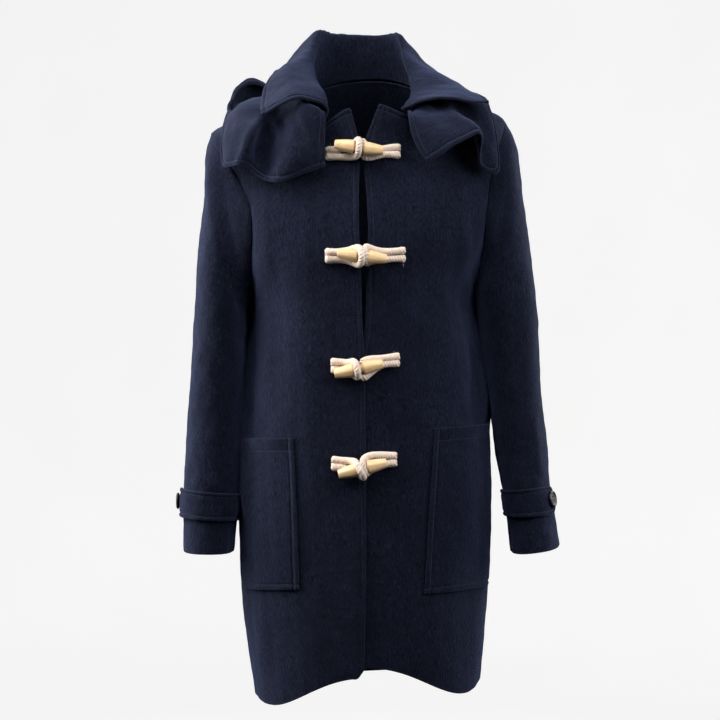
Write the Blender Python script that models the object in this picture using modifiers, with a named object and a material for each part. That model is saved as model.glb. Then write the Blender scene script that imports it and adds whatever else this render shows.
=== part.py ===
"""A hip-length wool duffle coat, worn on a general figure: the cloth stands as hollow walls, nobody inside.

Metres. +Z is up, -Y is the front and +X is the wearer's left. The origin is on the centre line, level
with the base of the neck, where the shoulders carry the coat.
"""

import math

import bpy
import numpy as np
from mathutils import Matrix, Vector

# ------------------------------------------------------------------ driving dimensions
GAP = 0.0003  # between neighbouring pieces
CLOTH = 0.0025  # melton of the body, sleeves and pockets
DOUBLE_CLOTH = 0.0032  # collar and hood
TAB_CLOTH = 0.0030  # strap on each cuff
LEAN = 0.05  # rise of every level towards the wearer's left, metres a metre
OVERLAP_RISE, LAP_WIDTH = 0.0021, 0.055  # the right front stands out by this and the left one in

BODY_RADIUS = 0.15  # about: turns a length round the body into an angle
FRONT_ANGLE, SIDE_LEFT, BACK_ANGLE, SIDE_RIGHT = -90.0, 0.0, 90.0, 180.0

# The body, from hem to neck: a superellipse at each level, its own height at front, side and back.
RING_COLUMNS = (
    "z_front", "z_side", "z_back", "x_right", "x_left", "y_front", "y_side", "y_back", "power",
)
RINGS = {
    "hem": (-0.738, -0.764, -0.766, -0.139, 0.151, -0.118, 0.000, 0.102, 2.3),
    "thigh": (-0.655, -0.662, -0.668, -0.154, 0.159, -0.123, 0.008, 0.108, 2.4),
    "hip": (-0.550, -0.550, -0.555, -0.161, 0.165, -0.127, 0.016, 0.114, 2.5),
    "pocket": (-0.440, -0.440, -0.440, -0.1575, 0.1635, -0.129, 0.028, 0.112, 2.5),
    "waist": (-0.345, -0.345, -0.345, -0.150, 0.1545, -0.127, 0.034, 0.105, 2.4),
    "underarm": (-0.262, -0.272, -0.268, -0.145, 0.142, -0.129, 0.022, 0.107, 2.3),
    "bust": (-0.208, -0.205, -0.200, -0.170, 0.170, -0.131, 0.006, 0.113, 2.3),
    "chest": (-0.163, -0.143, -0.140, -0.187, 0.185, -0.126, 0.000, 0.114, 2.3),
    "yoke": (-0.134, -0.088, -0.082, -0.194, 0.186, -0.118, 0.000, 0.104, 2.3),
    "shoulder": (-0.111, -0.042, -0.034, -0.195, 0.181, -0.110, 0.000, 0.088, 2.2),
    "trapezius": (-0.094, -0.021, -0.003, -0.131, 0.126, -0.104, 0.000, 0.076, 2.1),
    "neck": (-0.078, 0.004, 0.026, -0.078, 0.077, -0.100, 0.000, 0.062, 2.4),
}
RING_NAMES = list(RINGS)
UNDERARM = RING_NAMES.index("underarm")
SHOULDER = RING_NAMES.index("shoulder")
NECK = RING_NAMES.index("neck")
# How far each front's hem rises at its free edge, and halfway to the side seam.
HEM = {"right": {"edge": 0.0, "corner": -0.020}, "left": {"edge": 0.011, "corner": -0.0215}}
ARMHOLE_DIP = {"right": 43.0, "left": 34.0, "back": 31.0}  # degrees the armhole cuts into a panel

# The free edge of each front: height, then the x of the right front's edge and of the left one's.
FRONT_EDGES = (
    (-0.740, 0.0010, -0.0140),
    (-0.600, 0.0035, -0.0140),
    (-0.450, 0.0030, -0.0120),
    (-0.370, 0.0022, -0.0070),
    (-0.335, 0.0012, -0.0025),
    (-0.300, -0.0010, 0.0024),
    (-0.240, -0.0026, 0.0045),
    (-0.180, -0.0052, 0.0062),
    (-0.140, -0.0055, 0.0042),
    (-0.095, -0.0042, 0.0000),
    (-0.066, -0.0068, 0.0036),
    (-0.028, -0.0170, 0.0210),
)
CORNER_LEVELS = 3.0  # the throat corners rise and turn out over this many of the top levels
CORNER_RISE = {"right": 0.043, "left": 0.047}
CORNER_OUT = {"right": 0.006, "left": 0.008}
CORNER_FLAT, CORNER_REACH = 0.017, {"right": 0.033, "left": 0.040}

# Each sleeve from armhole to cuff: the outer and inner line of each section, and its front and back.
SLEEVE_COLUMNS = ("outer_x", "outer_z", "inner_x", "inner_z", "y_front", "y_back")
SLEEVES = {
    "left": (
        (0.1955, -0.068, 0.1510, -0.293, -0.079, 0.068),
        (0.2055, -0.138, 0.1545, -0.318, -0.080, 0.068),
        (0.2145, -0.208, 0.1575, -0.345, -0.080, 0.064),
        (0.2210, -0.270, 0.1610, -0.372, -0.079, 0.058),
        (0.2250, -0.340, 0.1655, -0.408, -0.079, 0.050),
        (0.2300, -0.400, 0.1690, -0.445, -0.081, 0.041),
        (0.2355, -0.455, 0.1735, -0.480, -0.084, 0.030),
        (0.2380, -0.505, 0.1795, -0.515, -0.087, 0.020),
        (0.2490, -0.5815, 0.1895, -0.590, -0.092, 0.010),
    ),
    "right": (
        (-0.2025, -0.082, -0.1520, -0.293, -0.081, 0.068),
        (-0.2055, -0.146, -0.1535, -0.318, -0.082, 0.068),
        (-0.2125, -0.212, -0.1535, -0.345, -0.082, 0.064),
        (-0.2160, -0.275, -0.1540, -0.372, -0.080, 0.058),
        (-0.2200, -0.345, -0.1555, -0.408, -0.079, 0.050),
        (-0.2235, -0.415, -0.1580, -0.445, -0.080, 0.041),
        (-0.2260, -0.460, -0.1600, -0.480, -0.082, 0.031),
        (-0.2290, -0.505, -0.1610, -0.515, -0.084, 0.022),
        (-0.2285, -0.588, -0.1655, -0.589, -0.088, 0.014),
    ),
}
SLEEVE_SEAM_FRONT, SLEEVE_SEAM_BACK = 170.0, 300.0  # the under sleeve lies between these, in degrees
SEAM_SPARE = 0.6  # degrees that each sleeve piece stops short of its seams
SLEEVE_START = 0.0035  # the sleeve head stands this far off the armhole's edge

# Cuff strap: from the inner seam across the front to its rounded end, buttoned on the outside.
TAB_LEVEL = {"left": 8.22, "right": 8.28}  # sleeve section that its middle follows
TAB_WIDTH = 0.038
TAB_ANGLES = {"left": (172.0, 26.0), "right": (172.0, -22.0)}
TAB_RISE = {"left": 0.006, "right": 0.004}  # the inner end sits this much higher
TAB_SPARE = 0.0012  # the strap stands this much more than a seam's gap off the sleeve
TAB_END, TAB_END_ROUND = 0.12, 0.88  # share of the strap that its rounded end takes, and how far it closes
BUTTON_RADIUS, BUTTON_THICK = 0.0105, 0.0036
BUTTON_AT, BUTTON_SPARE = 0.9, 0.0005  # how far back from the strap's end, in rounded ends, and off its face
BUTTON_PROFILE = (  # (share of the radius, share of the thickness), a rimmed face first
    (0.0, 0.72), (0.62, 0.72), (0.78, 1.0), (0.94, 0.94), (1.0, 0.6), (0.92, 0.15), (0.80, 0.0), (0.0, 0.0),
)

POCKET_COLUMNS = ("front_top_x", "front_bottom_x", "side_angle", "top_z", "bottom_z")
POCKETS = {
    "right": (-0.0835, -0.0780, 208.0, -0.4410, -0.6285),
    "left": (0.0870, 0.0745, -16.0, -0.4290, -0.6330),
}

# Collar: ribs round the neck, from the right front end to the left one. Each row is an angle on the
# neckline, then the places of the roll, the middle of the fall and its edge.
COLLAR = (
    (-123.0, (-0.0455, -0.096, -0.030), (-0.0800, -0.1190, -0.0205), (-0.1255, -0.108, -0.0405)),
    (-137.0, (-0.0510, -0.078, -0.008), (-0.0880, -0.0940, -0.0050), (-0.1290, -0.084, -0.0260)),
    (-156.0, (-0.0590, -0.048, 0.011), (-0.0930, -0.0620, 0.0160), (-0.1275, -0.056, -0.0060)),
    (-176.0, (-0.0655, -0.020, 0.034), (-0.0940, -0.0300, 0.0360), (-0.1210, -0.028, 0.0140)),
    (168.0, (-0.0640, 0.006, 0.062), (-0.0915, 0.0080, 0.0440), (-0.1120, 0.000, 0.0290)),
    (148.0, (-0.0555, 0.030, 0.085), (-0.0815, 0.0420, 0.0685), (-0.0990, 0.052, 0.0300)),
    (120.0, (-0.0370, 0.050, 0.087), (-0.0500, 0.0820, 0.0600), (-0.0600, 0.101, 0.0180)),
    (90.0, (-0.0050, 0.058, 0.087), (-0.0040, 0.0940, 0.0580), (-0.0030, 0.114, 0.0120)),
    (60.0, (0.0270, 0.050, 0.086), (0.0430, 0.0820, 0.0580), (0.0560, 0.101, 0.0150)),
    (32.0, (0.0460, 0.030, 0.082), (0.0690, 0.0430, 0.0600), (0.0980, 0.052, 0.0240)),
    (12.0, (0.0500, 0.008, 0.057), (0.0785, 0.0100, 0.0405), (0.1180, 0.002, 0.0170)),
    (-4.0, (0.0570, -0.016, 0.031), (0.0960, -0.0240, 0.0240), (0.1360, -0.024, 0.0020)),
    (-20.0, (0.0620, -0.046, 0.004), (0.1040, -0.0560, 0.0030), (0.1500, -0.050, -0.0085)),
    (-38.0, (0.0610, -0.074, -0.014), (0.1040, -0.0900, -0.0110), (0.1560, -0.072, -0.0180)),
    (-51.0, (0.0530, -0.093, -0.031), (0.0930, -0.1150, -0.0200), (0.1575, -0.088, -0.0225)),
)

# Hood, thrown back: ribs from the right throat round the back to the left throat. Each row is an angle on
# the neckline, then the places of the rib's upper, middle and lower thirds and of the hood's face edge.
HOOD = (
    (-124.0, (-0.0475, -0.1105, -0.040), (-0.0470, -0.1180, -0.070), (-0.0468, -0.1235, -0.088),
     (-0.0468, -0.1260, -0.1060)),
    (-133.0, (-0.0600, -0.1105, -0.032), (-0.0640, -0.1240, -0.070), (-0.0680, -0.1290, -0.094),
     (-0.0730, -0.1270, -0.1150)),
    (-143.0, (-0.0760, -0.1040, -0.030), (-0.0880, -0.1200, -0.070), (-0.0960, -0.1280, -0.100),
     (-0.1010, -0.1240, -0.1250)),
    (-153.0, (-0.0900, -0.0860, -0.034), (-0.1130, -0.0960, -0.068), (-0.1200, -0.1040, -0.098),
     (-0.1230, -0.1130, -0.1210)),
    (-161.0, (-0.1000, -0.0720, -0.028), (-0.1330, -0.1060, -0.056), (-0.1420, -0.1160, -0.080),
     (-0.1490, -0.1120, -0.1040)),
    (-168.0, (-0.1040, -0.0560, -0.020), (-0.1480, -0.0840, -0.038), (-0.1640, -0.0880, -0.068),
     (-0.1760, -0.0820, -0.1010)),
    (-174.0, (-0.1060, -0.0420, -0.014), (-0.1500, -0.0620, -0.023), (-0.1670, -0.0660, -0.042),
     (-0.1795, -0.0600, -0.0620)),
    (179.0, (-0.1060, -0.0240, -0.008), (-0.1480, -0.0380, -0.0135), (-0.1640, -0.0380, -0.0255),
     (-0.1775, -0.0300, -0.0345)),
    (168.0, (-0.1040, 0.0060, 0.001), (-0.1420, 0.0240, -0.006), (-0.1700, 0.0420, -0.020),
     (-0.1695, 0.0140, 0.0040)),
    (156.0, (-0.0980, 0.0480, 0.006), (-0.1330, 0.0850, -0.030), (-0.1620, 0.1050, -0.066),
     (-0.1605, 0.0500, 0.0250)),
    (142.0, (-0.0840, 0.0760, 0.010), (-0.1080, 0.1270, -0.090), (-0.1320, 0.1580, -0.150),
     (-0.1380, 0.0860, 0.0325)),
    (118.0, (-0.0450, 0.0920, 0.014), (-0.0560, 0.1420, -0.130), (-0.0700, 0.1760, -0.222),
     (-0.0820, 0.1460, 0.0080)),
    (91.0, (-0.0030, 0.0950, 0.014), (-0.0030, 0.1450, -0.140), (-0.0030, 0.1800, -0.250),
     (-0.0030, 0.1740, -0.0230)),
    (62.0, (0.0410, 0.0920, 0.013), (0.0520, 0.1420, -0.130), (0.0650, 0.1760, -0.222),
     (0.0760, 0.1520, -0.0080)),
    (38.0, (0.0800, 0.0760, 0.008), (0.1020, 0.1260, -0.090), (0.1240, 0.1560, -0.150),
     (0.1280, 0.1020, 0.0040)),
    (24.0, (0.0960, 0.0480, 0.006), (0.1290, 0.0880, -0.026), (0.1530, 0.1060, -0.064),
     (0.1540, 0.0600, -0.0040)),
    (12.0, (0.1020, 0.0060, 0.010), (0.1360, 0.0240, -0.004), (0.1560, 0.0420, -0.014),
     (0.1620, 0.0120, -0.0100)),
    (1.0, (0.1040, -0.0240, 0.006), (0.1380, -0.0390, -0.012), (0.1520, -0.0430, -0.016),
     (0.1610, -0.0440, -0.0210)),
    (-6.0, (0.1040, -0.0420, 0.000), (0.1400, -0.0660, -0.024), (0.1560, -0.0760, -0.042),
     (0.1670, -0.0780, -0.0600)),
    (-12.0, (0.1030, -0.0560, -0.010), (0.1420, -0.0840, -0.044), (0.1560, -0.0940, -0.076),
     (0.1690, -0.0960, -0.1100)),
    (-19.0, (0.1010, -0.0720, -0.020), (0.1310, -0.0900, -0.050), (0.1420, -0.1000, -0.078),
     (0.1470, -0.1060, -0.1030)),
    (-26.0, (0.0930, -0.0860, -0.032), (0.1200, -0.1080, -0.042), (0.1370, -0.1260, -0.056),
     (0.1440, -0.1420, -0.0700)),
    (-33.0, (0.0820, -0.0980, -0.036), (0.1020, -0.1180, -0.050), (0.1130, -0.1330, -0.064),
     (0.1200, -0.1440, -0.0780)),
    (-43.0, (0.0680, -0.1060, -0.040), (0.0780, -0.1240, -0.060), (0.0860, -0.1340, -0.078),
     (0.0930, -0.1400, -0.0940)),
    (-51.0, (0.0560, -0.1105, -0.044), (0.0600, -0.1220, -0.066), (0.0680, -0.1300, -0.086),
     (0.0790, -0.1350, -0.1010)),
)
HOOD_SEAM_STEP = 0.0055  # the hood's seam lies this far out from the collar's
NECK_SEAM_RISE = 0.0035  # collar and hood start this far above the neckline's edge
HOOD_CENTRE_SHARE = 0.006  # each half stops this part of a row short of the centre seam

# Fastenings: centre of each toggle, its tilt, and how its right and left cords reach out.
TOGGLE_LENGTH, TOGGLE_RADIUS, TOGGLE_END_RADIUS = 0.061, 0.0080, 0.0050
GROOVE_RADIUS, GROOVE_HALF = 0.0052, 0.0045
ROPE_RADIUS = 0.0035
FASTENING_COLUMNS = ("x", "z", "tilt_degrees", "right_reach", "left_reach")
FASTENINGS = (
    (-0.0052, -0.0822, -7.0, 0.0365, 0.0510),
    (-0.0013, -0.2177, -7.0, 0.0450, 0.0565),
    (-0.0055, -0.3552, 11.0, 0.0340, 0.0500),
    (-0.0006, -0.4770, 13.0, 0.0370, 0.0460),
)
FRONT_MEETING = 0.001  # x where the cords pass from one front to the other
TOGGLE_STAND = 0.0160  # toggle axis over the cloth
ROPE_STAND = 0.0043  # cord axis over the cloth
ROPE_HALF_SPACING = 0.0046  # each strand's axis lies this far from the loop's middle
ROPE_FOLLOWS = (0.008, 0.024)  # how far out a cord starts to follow the cloth's curve, and fully does
WRAP_SPARE = 0.0010  # the catching cord stands this far off the toggle's groove
POCKET_SPARE = 0.0003  # the pockets stand this much more than a seam's gap off the fronts
EDGE_BIAS = 1.2  # packs the fronts' columns towards their free edges

# ------------------------------------------------------------------ materials
MATERIAL_VALUES = {
    "navy_melton": ((0.022, 0.025, 0.046), 0.92),
    "bamboo": ((0.66, 0.46, 0.23), 0.38),
    "cotton_cord": ((0.72, 0.58, 0.44), 0.90),
    "dark_horn": ((0.020, 0.017, 0.016), 0.32),
}


def material(name):
    found = bpy.data.materials.get(name)
    if found:
        return found
    colour, roughness = MATERIAL_VALUES[name]
    made = bpy.data.materials.new(name)
    made.use_nodes = True
    shader = made.node_tree.nodes["Principled BSDF"]
    shader.inputs["Base Color"].default_value = (*colour, 1.0)
    shader.inputs["Roughness"].default_value = roughness
    shader.inputs["Metallic"].default_value = 0.0
    return made


# ------------------------------------------------------------------ curves through rows
def along(rows, place):
    """The value at a place (0 is the first row, 1 the next) on a smooth curve through the rows."""
    rows = np.asarray(rows, float)
    last = len(rows) - 1
    place = min(max(place, 0.0), float(last))
    start = min(int(place), last - 1)
    f = place - start
    p1, p2 = rows[start], rows[start + 1]
    p0 = rows[start - 1] if start > 0 else 2 * p1 - p2
    p3 = rows[start + 2] if start + 2 <= last else 2 * p2 - p1
    m1, m2 = (p2 - p0) / 2, (p3 - p1) / 2
    h = (2 * f**3 - 3 * f**2 + 1, f**3 - 2 * f**2 + f, 3 * f**2 - 2 * f**3, f**3 - f**2)
    return h[0] * p1 + h[1] * m1 + h[2] * p2 + h[3] * m2


def between(table, z, column):
    """A column of a table whose first column rises, at height z."""
    heights = [row[0] for row in table]
    return float(np.interp(z, heights, [row[column] for row in table]))


# ------------------------------------------------------------------ body surface
def body_ring(level):
    return dict(zip(RING_COLUMNS, along(list(RINGS.values()), level)))


def body_point(angle, level):
    """A point of the body's surface. The angle is 0 at the wearer's left side and -90 at the front."""
    ring = body_ring(level)
    c, s = math.cos(math.radians(angle)), math.sin(math.radians(angle))
    reach = ring["x_left"] if c >= 0 else -ring["x_right"]
    power = 2.0 / ring["power"]
    x = reach * math.copysign(abs(c) ** power, c)
    reach_y = ring["y_side"] - ring["y_front"] if s < 0 else ring["y_back"] - ring["y_side"]
    y = ring["y_side"] + reach_y * math.copysign(abs(s) ** power, s)
    far = ring["z_front"] if s < 0 else ring["z_back"]
    z = ring["z_side"] + (far - ring["z_side"]) * s * s
    if s < 0:
        hem = HEM["left" if c >= 0 else "right"]
        z += (hem["edge"] * s * s + hem["corner"] * (2 * s * c) ** 2) * max(0.0, 1.0 - level)
    return np.array((x, y, z + LEAN * x))


def body_normal(angle, level):
    step = 0.4
    across = body_point(angle + step, level) - body_point(angle - step, level)
    lower, upper = max(level - 0.05, 0.0), min(level + 0.05, float(NECK))
    up = body_point(angle, upper) - body_point(angle, lower)
    normal = np.cross(across, up)
    return normal / np.linalg.norm(normal)


def angle_at_x(x, level):
    """The front's angle where it crosses x."""
    ring = body_ring(level)
    reach = ring["x_left"] if x >= 0 else -ring["x_right"]
    c = min(abs(x / reach), 1.0) ** (ring["power"] / 2.0)
    return FRONT_ANGLE + math.copysign(90.0 - math.degrees(math.acos(c)), x)


def place_at(x, z, side=None):
    """The (angle, level) of the front at a place seen from the front."""
    side = side or ("left" if x > 0 else "right")
    low, high = 0.0, NECK - 0.01
    for _ in range(30):
        level = (low + high) / 2
        if front_point(side, angle_at_x(x, level), level)[2] < z:
            low = level
        else:
            high = level
    return angle_at_x(x, level), level


def armhole_dip(level, which):
    if not UNDERARM < level < SHOULDER:
        return 0.0
    share = (level - UNDERARM) / (SHOULDER - UNDERARM)
    return ARMHOLE_DIP[which] * math.sin(math.pi * share) ** 0.5


def corner_share(side, x, level):
    """How much of the throat corner's rise a place of the front takes."""
    height = max(0.0, (level - NECK + CORNER_LEVELS) / CORNER_LEVELS)
    aside = min(max((abs(x) - CORNER_FLAT) / CORNER_REACH[side], 0.0), 1.0)
    return height**2 * (1 - aside**1.5)


def front_edge_angle(side, level):
    z = body_point(FRONT_ANGLE, level)[2] + CORNER_RISE[side] * corner_share(side, 0.0, level)
    return angle_at_x(between(FRONT_EDGES, z, 1 if side == "right" else 2), level)


def front_point(side, angle, level, out=0.0):
    """A point of one front: the fronts lie over each other, and their throat corners rise and turn out."""
    point = body_point(angle, level)
    x = point[0]
    lap = OVERLAP_RISE * math.exp(-((x / LAP_WIDTH) ** 2)) * (1 if side == "right" else -1)
    corner = corner_share(side, x, level)
    point = point + body_normal(angle, level) * (lap + out + CORNER_OUT[side] * corner**1.5)
    point[2] += CORNER_RISE[side] * corner
    return point


def front_normal(side, angle, level):
    across = front_point(side, angle + 0.5, level) - front_point(side, angle - 0.5, level)
    up = front_point(side, angle, level + 0.03) - front_point(side, angle, level - 0.03)
    normal = np.cross(across, up)
    return normal / np.linalg.norm(normal)


def front_grid(side, columns, rows, trim=GAP):
    """Points of one front, from its free edge to the side seam and armhole, hem to neckline."""
    grid = []
    for level in rows:
        inner = front_edge_angle(side, level)
        dip = armhole_dip(level, side)
        outer = SIDE_LEFT - dip if side == "left" else -SIDE_RIGHT + dip
        outer += math.degrees(trim / BODY_RADIUS) * (1 if side == "right" else -1)
        line = []
        for step in np.linspace(0.0, 1.0, columns) ** EDGE_BIAS:
            line.append(front_point(side, inner + (outer - inner) * step, level))
        grid.append(line)
    return np.array(grid)


def back_grid(columns, rows, trim=GAP):
    grid = []
    spare = math.degrees(trim / BODY_RADIUS)
    for level in rows:
        dip = armhole_dip(level, "back")
        start, end = SIDE_LEFT + dip + spare, SIDE_RIGHT - dip - spare
        grid.append([body_point(start + (end - start) * s, level) for s in np.linspace(0, 1, columns)])
    return np.array(grid)


def body_levels(count_low, count_arm, count_top):
    """Levels hem to neck, close together where the armhole's curve turns."""
    low = np.linspace(0.0, UNDERARM, count_low + 1)[:-1]
    turn = (1 - np.cos(np.linspace(0, math.pi, count_arm + 1))) / 2
    arm = UNDERARM + (SHOULDER - UNDERARM) * turn
    top = np.linspace(SHOULDER, NECK, count_top + 1)[1:]
    return np.concatenate([low, arm, top])


# ------------------------------------------------------------------ sleeves
def armhole_place(side, angle):
    """The body's (angle, level) at the armhole's seam, for an angle round the armhole."""
    level = UNDERARM + (SHOULDER - UNDERARM) * (1 + math.cos(math.radians(angle))) / 2
    at_front = math.sin(math.radians(angle)) >= 0
    dip = armhole_dip(level, side if at_front else "back") * (-1 if at_front else 1)
    return (SIDE_LEFT + dip if side == "left" else SIDE_RIGHT - dip), level


def armhole_point(side, angle):
    """The armhole's seam. The angle is 0 at the shoulder, 90 at the front and 180 under the arm."""
    return body_point(*armhole_place(side, angle))


def armhole_normal(side, angle):
    return body_normal(*armhole_place(side, angle))


def sleeve_section(side, index, angle):
    row = dict(zip(SLEEVE_COLUMNS, SLEEVES[side][index]))
    c, s = math.cos(math.radians(angle)), math.sin(math.radians(angle))
    outer = np.array((row["outer_x"], 0.0, row["outer_z"]))
    inner = np.array((row["inner_x"], 0.0, row["inner_z"]))
    middle_y, half_y = (row["y_front"] + row["y_back"]) / 2, (row["y_back"] - row["y_front"]) / 2
    c2, s2 = (math.copysign(abs(v) ** (2 / 2.2), v) for v in (c, s))
    return (outer + inner) / 2 + (outer - inner) / 2 * c2 + np.array((0.0, middle_y - half_y * s2, 0.0))


def sleeve_point(side, angle, place):
    """Place 0 is the armhole's seam, 1 the first section under it and 9 the cuff."""
    rows = [armhole_point(side, angle)]
    rows += [sleeve_section(side, index, angle) for index in range(len(SLEEVES[side]))]
    first = rows[1] - rows[0]
    under = (1 - math.cos(math.radians(angle))) / 2
    outward = armhole_normal(side, angle) * (CLOTH + 2 * GAP)
    rows[0] = rows[0] + outward * under + first / np.linalg.norm(first) * SLEEVE_START * (1 - under)
    return along(rows, place)


def sleeve_normal(side, angle, place):
    across = sleeve_point(side, angle + 1, place) - sleeve_point(side, angle - 1, place)
    down = sleeve_point(side, angle, place + 0.05) - sleeve_point(side, angle, place - 0.05)
    normal = np.cross(across, down)
    centre = (sleeve_point(side, 0, place) + sleeve_point(side, 180, place)) / 2
    point = sleeve_point(side, angle, place)
    normal = normal / np.linalg.norm(normal)
    return normal if np.dot(normal, point - centre) > 0 else -normal


def sleeve_grid(side, angles, places):
    return np.array([[sleeve_point(side, angle, place) for angle in angles] for place in places])


# ------------------------------------------------------------------ neck pieces
def neck_point(angle, out=0.0, up=NECK_SEAM_RISE):
    side = "left" if -90 <= angle <= 90 else "right"
    point = front_point(side, angle, NECK) if -180 < angle < 0 else body_point(angle, NECK)
    outward = np.array((point[0], point[1] + 0.015, 0.0))
    outward = outward / np.linalg.norm(outward)
    return point + outward * out + np.array((0.0, 0.0, up))


def rib_point(table, place, share, out):
    """A point of the collar or hood: place runs along the table's rows, share along a rib."""
    last = len(table) - 1
    start = min(int(place), last - 1)
    angles = np.unwrap([math.radians(row[0]) for row in table])
    angle = math.degrees(float(along(angles.reshape(-1, 1), place)[0]))
    angle = (angle + 180) % 360 - 180
    knots = [neck_point(angle, out)]
    knots += [along([row[column] for row in table], place) for column in range(1, len(table[start]))]
    return along(knots, share * (len(knots) - 1))


def rib_grid(table, places, shares, out=0.0):
    return np.array([[rib_point(table, place, share, out) for place in places] for share in shares])


# ------------------------------------------------------------------ solids
def new_object(name, mesh, material_name):
    made = bpy.data.objects.new(name, mesh)
    made.data.materials.append(material(material_name))
    coat.objects.link(made)
    return made


def sheet_solid(name, grid, thickness, material_name):
    """A cloth wall, half its thickness each side of a grid of points."""
    rows, columns = grid.shape[:2]
    mesh = bpy.data.meshes.new(name)
    faces = []
    for r in range(rows - 1):
        for c in range(columns - 1):
            first = r * columns + c
            faces.append((first, first + 1, first + columns + 1, first + columns))
    mesh.from_pydata([tuple(p) for p in grid.reshape(-1, 3)], [], faces)
    mesh.validate()
    made = new_object(name, mesh, material_name)
    wall = made.modifiers.new("wall", "SOLIDIFY")
    wall.thickness = thickness
    wall.offset = 0.0
    wall.use_even_offset = False
    mesh.shade_smooth()
    mesh.set_sharp_from_angle(angle=math.radians(40))
    return made


def turned_solid(name, profile, steps, material_name):
    """A turned piece: its profile of (radius, height) runs from top to bottom."""
    mesh = bpy.data.meshes.new(name)
    points = [(radius, 0.0, height) for radius, height in profile]
    mesh.from_pydata(points, [(i, i + 1) for i in range(len(points) - 1)], [])
    made = new_object(name, mesh, material_name)
    turn = made.modifiers.new("turn", "SCREW")
    turn.steps = steps
    turn.render_steps = steps
    turn.use_merge_vertices = True
    turn.merge_threshold = 0.00005
    return made


def rope_solid(name, points, radius, material_name):
    curve = bpy.data.curves.new(name, "CURVE")
    curve.dimensions = "3D"
    curve.bevel_depth = radius
    curve.bevel_resolution = 2
    curve.use_fill_caps = True
    spline = curve.splines.new("POLY")
    spline.points.add(len(points) - 1)
    for knot, point in zip(spline.points, points):
        knot.co = (*point, 1.0)
    made = bpy.data.objects.new(name, curve)
    curve.materials.append(material(material_name))
    coat.objects.link(made)
    return made


def turn_to(obj, place, axis_x, axis_z):
    """Stands a solid at a place with its +Z on axis_z and its +X on axis_x."""
    z = Vector(axis_z).normalized()
    x = Vector(axis_x) - Vector(axis_x).dot(z) * z
    x.normalize()
    y = z.cross(x)
    turn = Matrix((x, y, z)).transposed().to_4x4()
    obj.matrix_world = Matrix.Translation(Vector(place)) @ turn


# ------------------------------------------------------------------ the pieces
def make_body():
    rows = body_levels(8, 9, 5)
    for side in ("right", "left"):
        grid = front_grid(side, 12, rows)
        if side == "right":
            grid = grid[:, ::-1]
        sheet_solid(f"front_{side}", grid, CLOTH, "navy_melton")
    sheet_solid("back", back_grid(17, rows), CLOTH, "navy_melton")


def make_sleeves():
    places = np.concatenate([np.linspace(0, 2, 6), np.linspace(2.8, 9, 9)])
    for side in ("left", "right"):
        upper = np.linspace(SLEEVE_SEAM_BACK - 360 + SEAM_SPARE, SLEEVE_SEAM_FRONT - SEAM_SPARE, 14)
        under = np.linspace(SLEEVE_SEAM_FRONT + SEAM_SPARE, SLEEVE_SEAM_BACK - SEAM_SPARE, 8)
        for name, angles in (("upper", upper), ("under", under)):
            grid = sleeve_grid(side, angles, places)
            if side == "right":
                grid = grid[:, ::-1]
            sheet_solid(f"{name}_sleeve_{side}", grid, CLOTH, "navy_melton")


def tab_point(side, along_share, across_share, out):
    """A point of a cuff strap: along from the inner seam to the rounded end, across from top to bottom."""
    start, end = TAB_ANGLES[side]
    angle = start + (end - start) * along_share
    place = TAB_LEVEL[side]
    base = sleeve_point(side, angle, place)
    down = sleeve_point(side, angle, place + 0.1) - base
    reach = (across_share - 0.5) * TAB_WIDTH - TAB_RISE[side] * (1 - along_share)
    place += 0.1 * reach / np.linalg.norm(down)
    return sleeve_point(side, angle, place) + sleeve_normal(side, angle, place) * out


def make_button(side, out):
    """The button that holds a strap's rounded end."""
    at = 1 - TAB_END * BUTTON_AT
    place = tab_point(side, at, 0.5, out + TAB_CLOTH / 2 + GAP + BUTTON_SPARE)
    ahead = tab_point(side, at + TAB_END / 2, 0.5, out) - tab_point(side, at - TAB_END / 2, 0.5, out)
    down = tab_point(side, at, 0.8, out) - tab_point(side, at, 0.2, out)
    normal = np.cross(ahead, down)
    if normal[0] * (1 if side == "left" else -1) < 0:
        normal = -normal
    profile = [(BUTTON_RADIUS * reach, BUTTON_THICK * rise) for reach, rise in BUTTON_PROFILE]
    button = turned_solid(f"cuff_button_{side}", profile, 16, "dark_horn")
    turn_to(button, place, ahead, normal)


def make_tabs():
    out = CLOTH / 2 + GAP + TAB_CLOTH / 2 + TAB_SPARE
    straight = 1 - TAB_END
    shares = np.concatenate([np.linspace(0, straight, 9), 1 - TAB_END * np.array([0.6, 0.3, 0.1, 0])])
    for side in ("left", "right"):
        grid = []
        for across in np.linspace(0, 1, 5):
            line = []
            for share in shares:
                rest = max(0.0, (share - straight) / TAB_END)
                narrow = math.sqrt(1 - rest * rest * TAB_END_ROUND)
                line.append(tab_point(side, share, 0.5 + (across - 0.5) * narrow, out))
            grid.append(line)
        grid = np.array(grid)
        if side == "left":
            grid = grid[:, ::-1]
        sheet_solid(f"cuff_tab_{side}", grid, TAB_CLOTH, "navy_melton")
        make_button(side, out)


def pocket_grid(side, columns, rows):
    spec = dict(zip(POCKET_COLUMNS, POCKETS[side]))
    grid = []
    for down in np.linspace(1.0, 0.0, rows):
        z = spec["top_z"] + (spec["bottom_z"] - spec["top_z"]) * down
        x = spec["front_top_x"] + (spec["front_bottom_x"] - spec["front_top_x"]) * down
        inner, level = place_at(x, z)
        outer = spec["side_angle"] - 360 if side == "right" else spec["side_angle"]
        line = []
        for share in np.linspace(0, 1, columns):
            angle = inner + (outer - inner) * share
            line.append(front_point(side, angle, level, CLOTH + GAP + POCKET_SPARE))
        grid.append(line)
    return np.array(grid)


def make_pockets():
    for side in ("right", "left"):
        grid = pocket_grid(side, 8, 7)
        if side == "right":
            grid = grid[:, ::-1]
        sheet_solid(f"patch_pocket_{side}", grid, CLOTH, "navy_melton")


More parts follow.
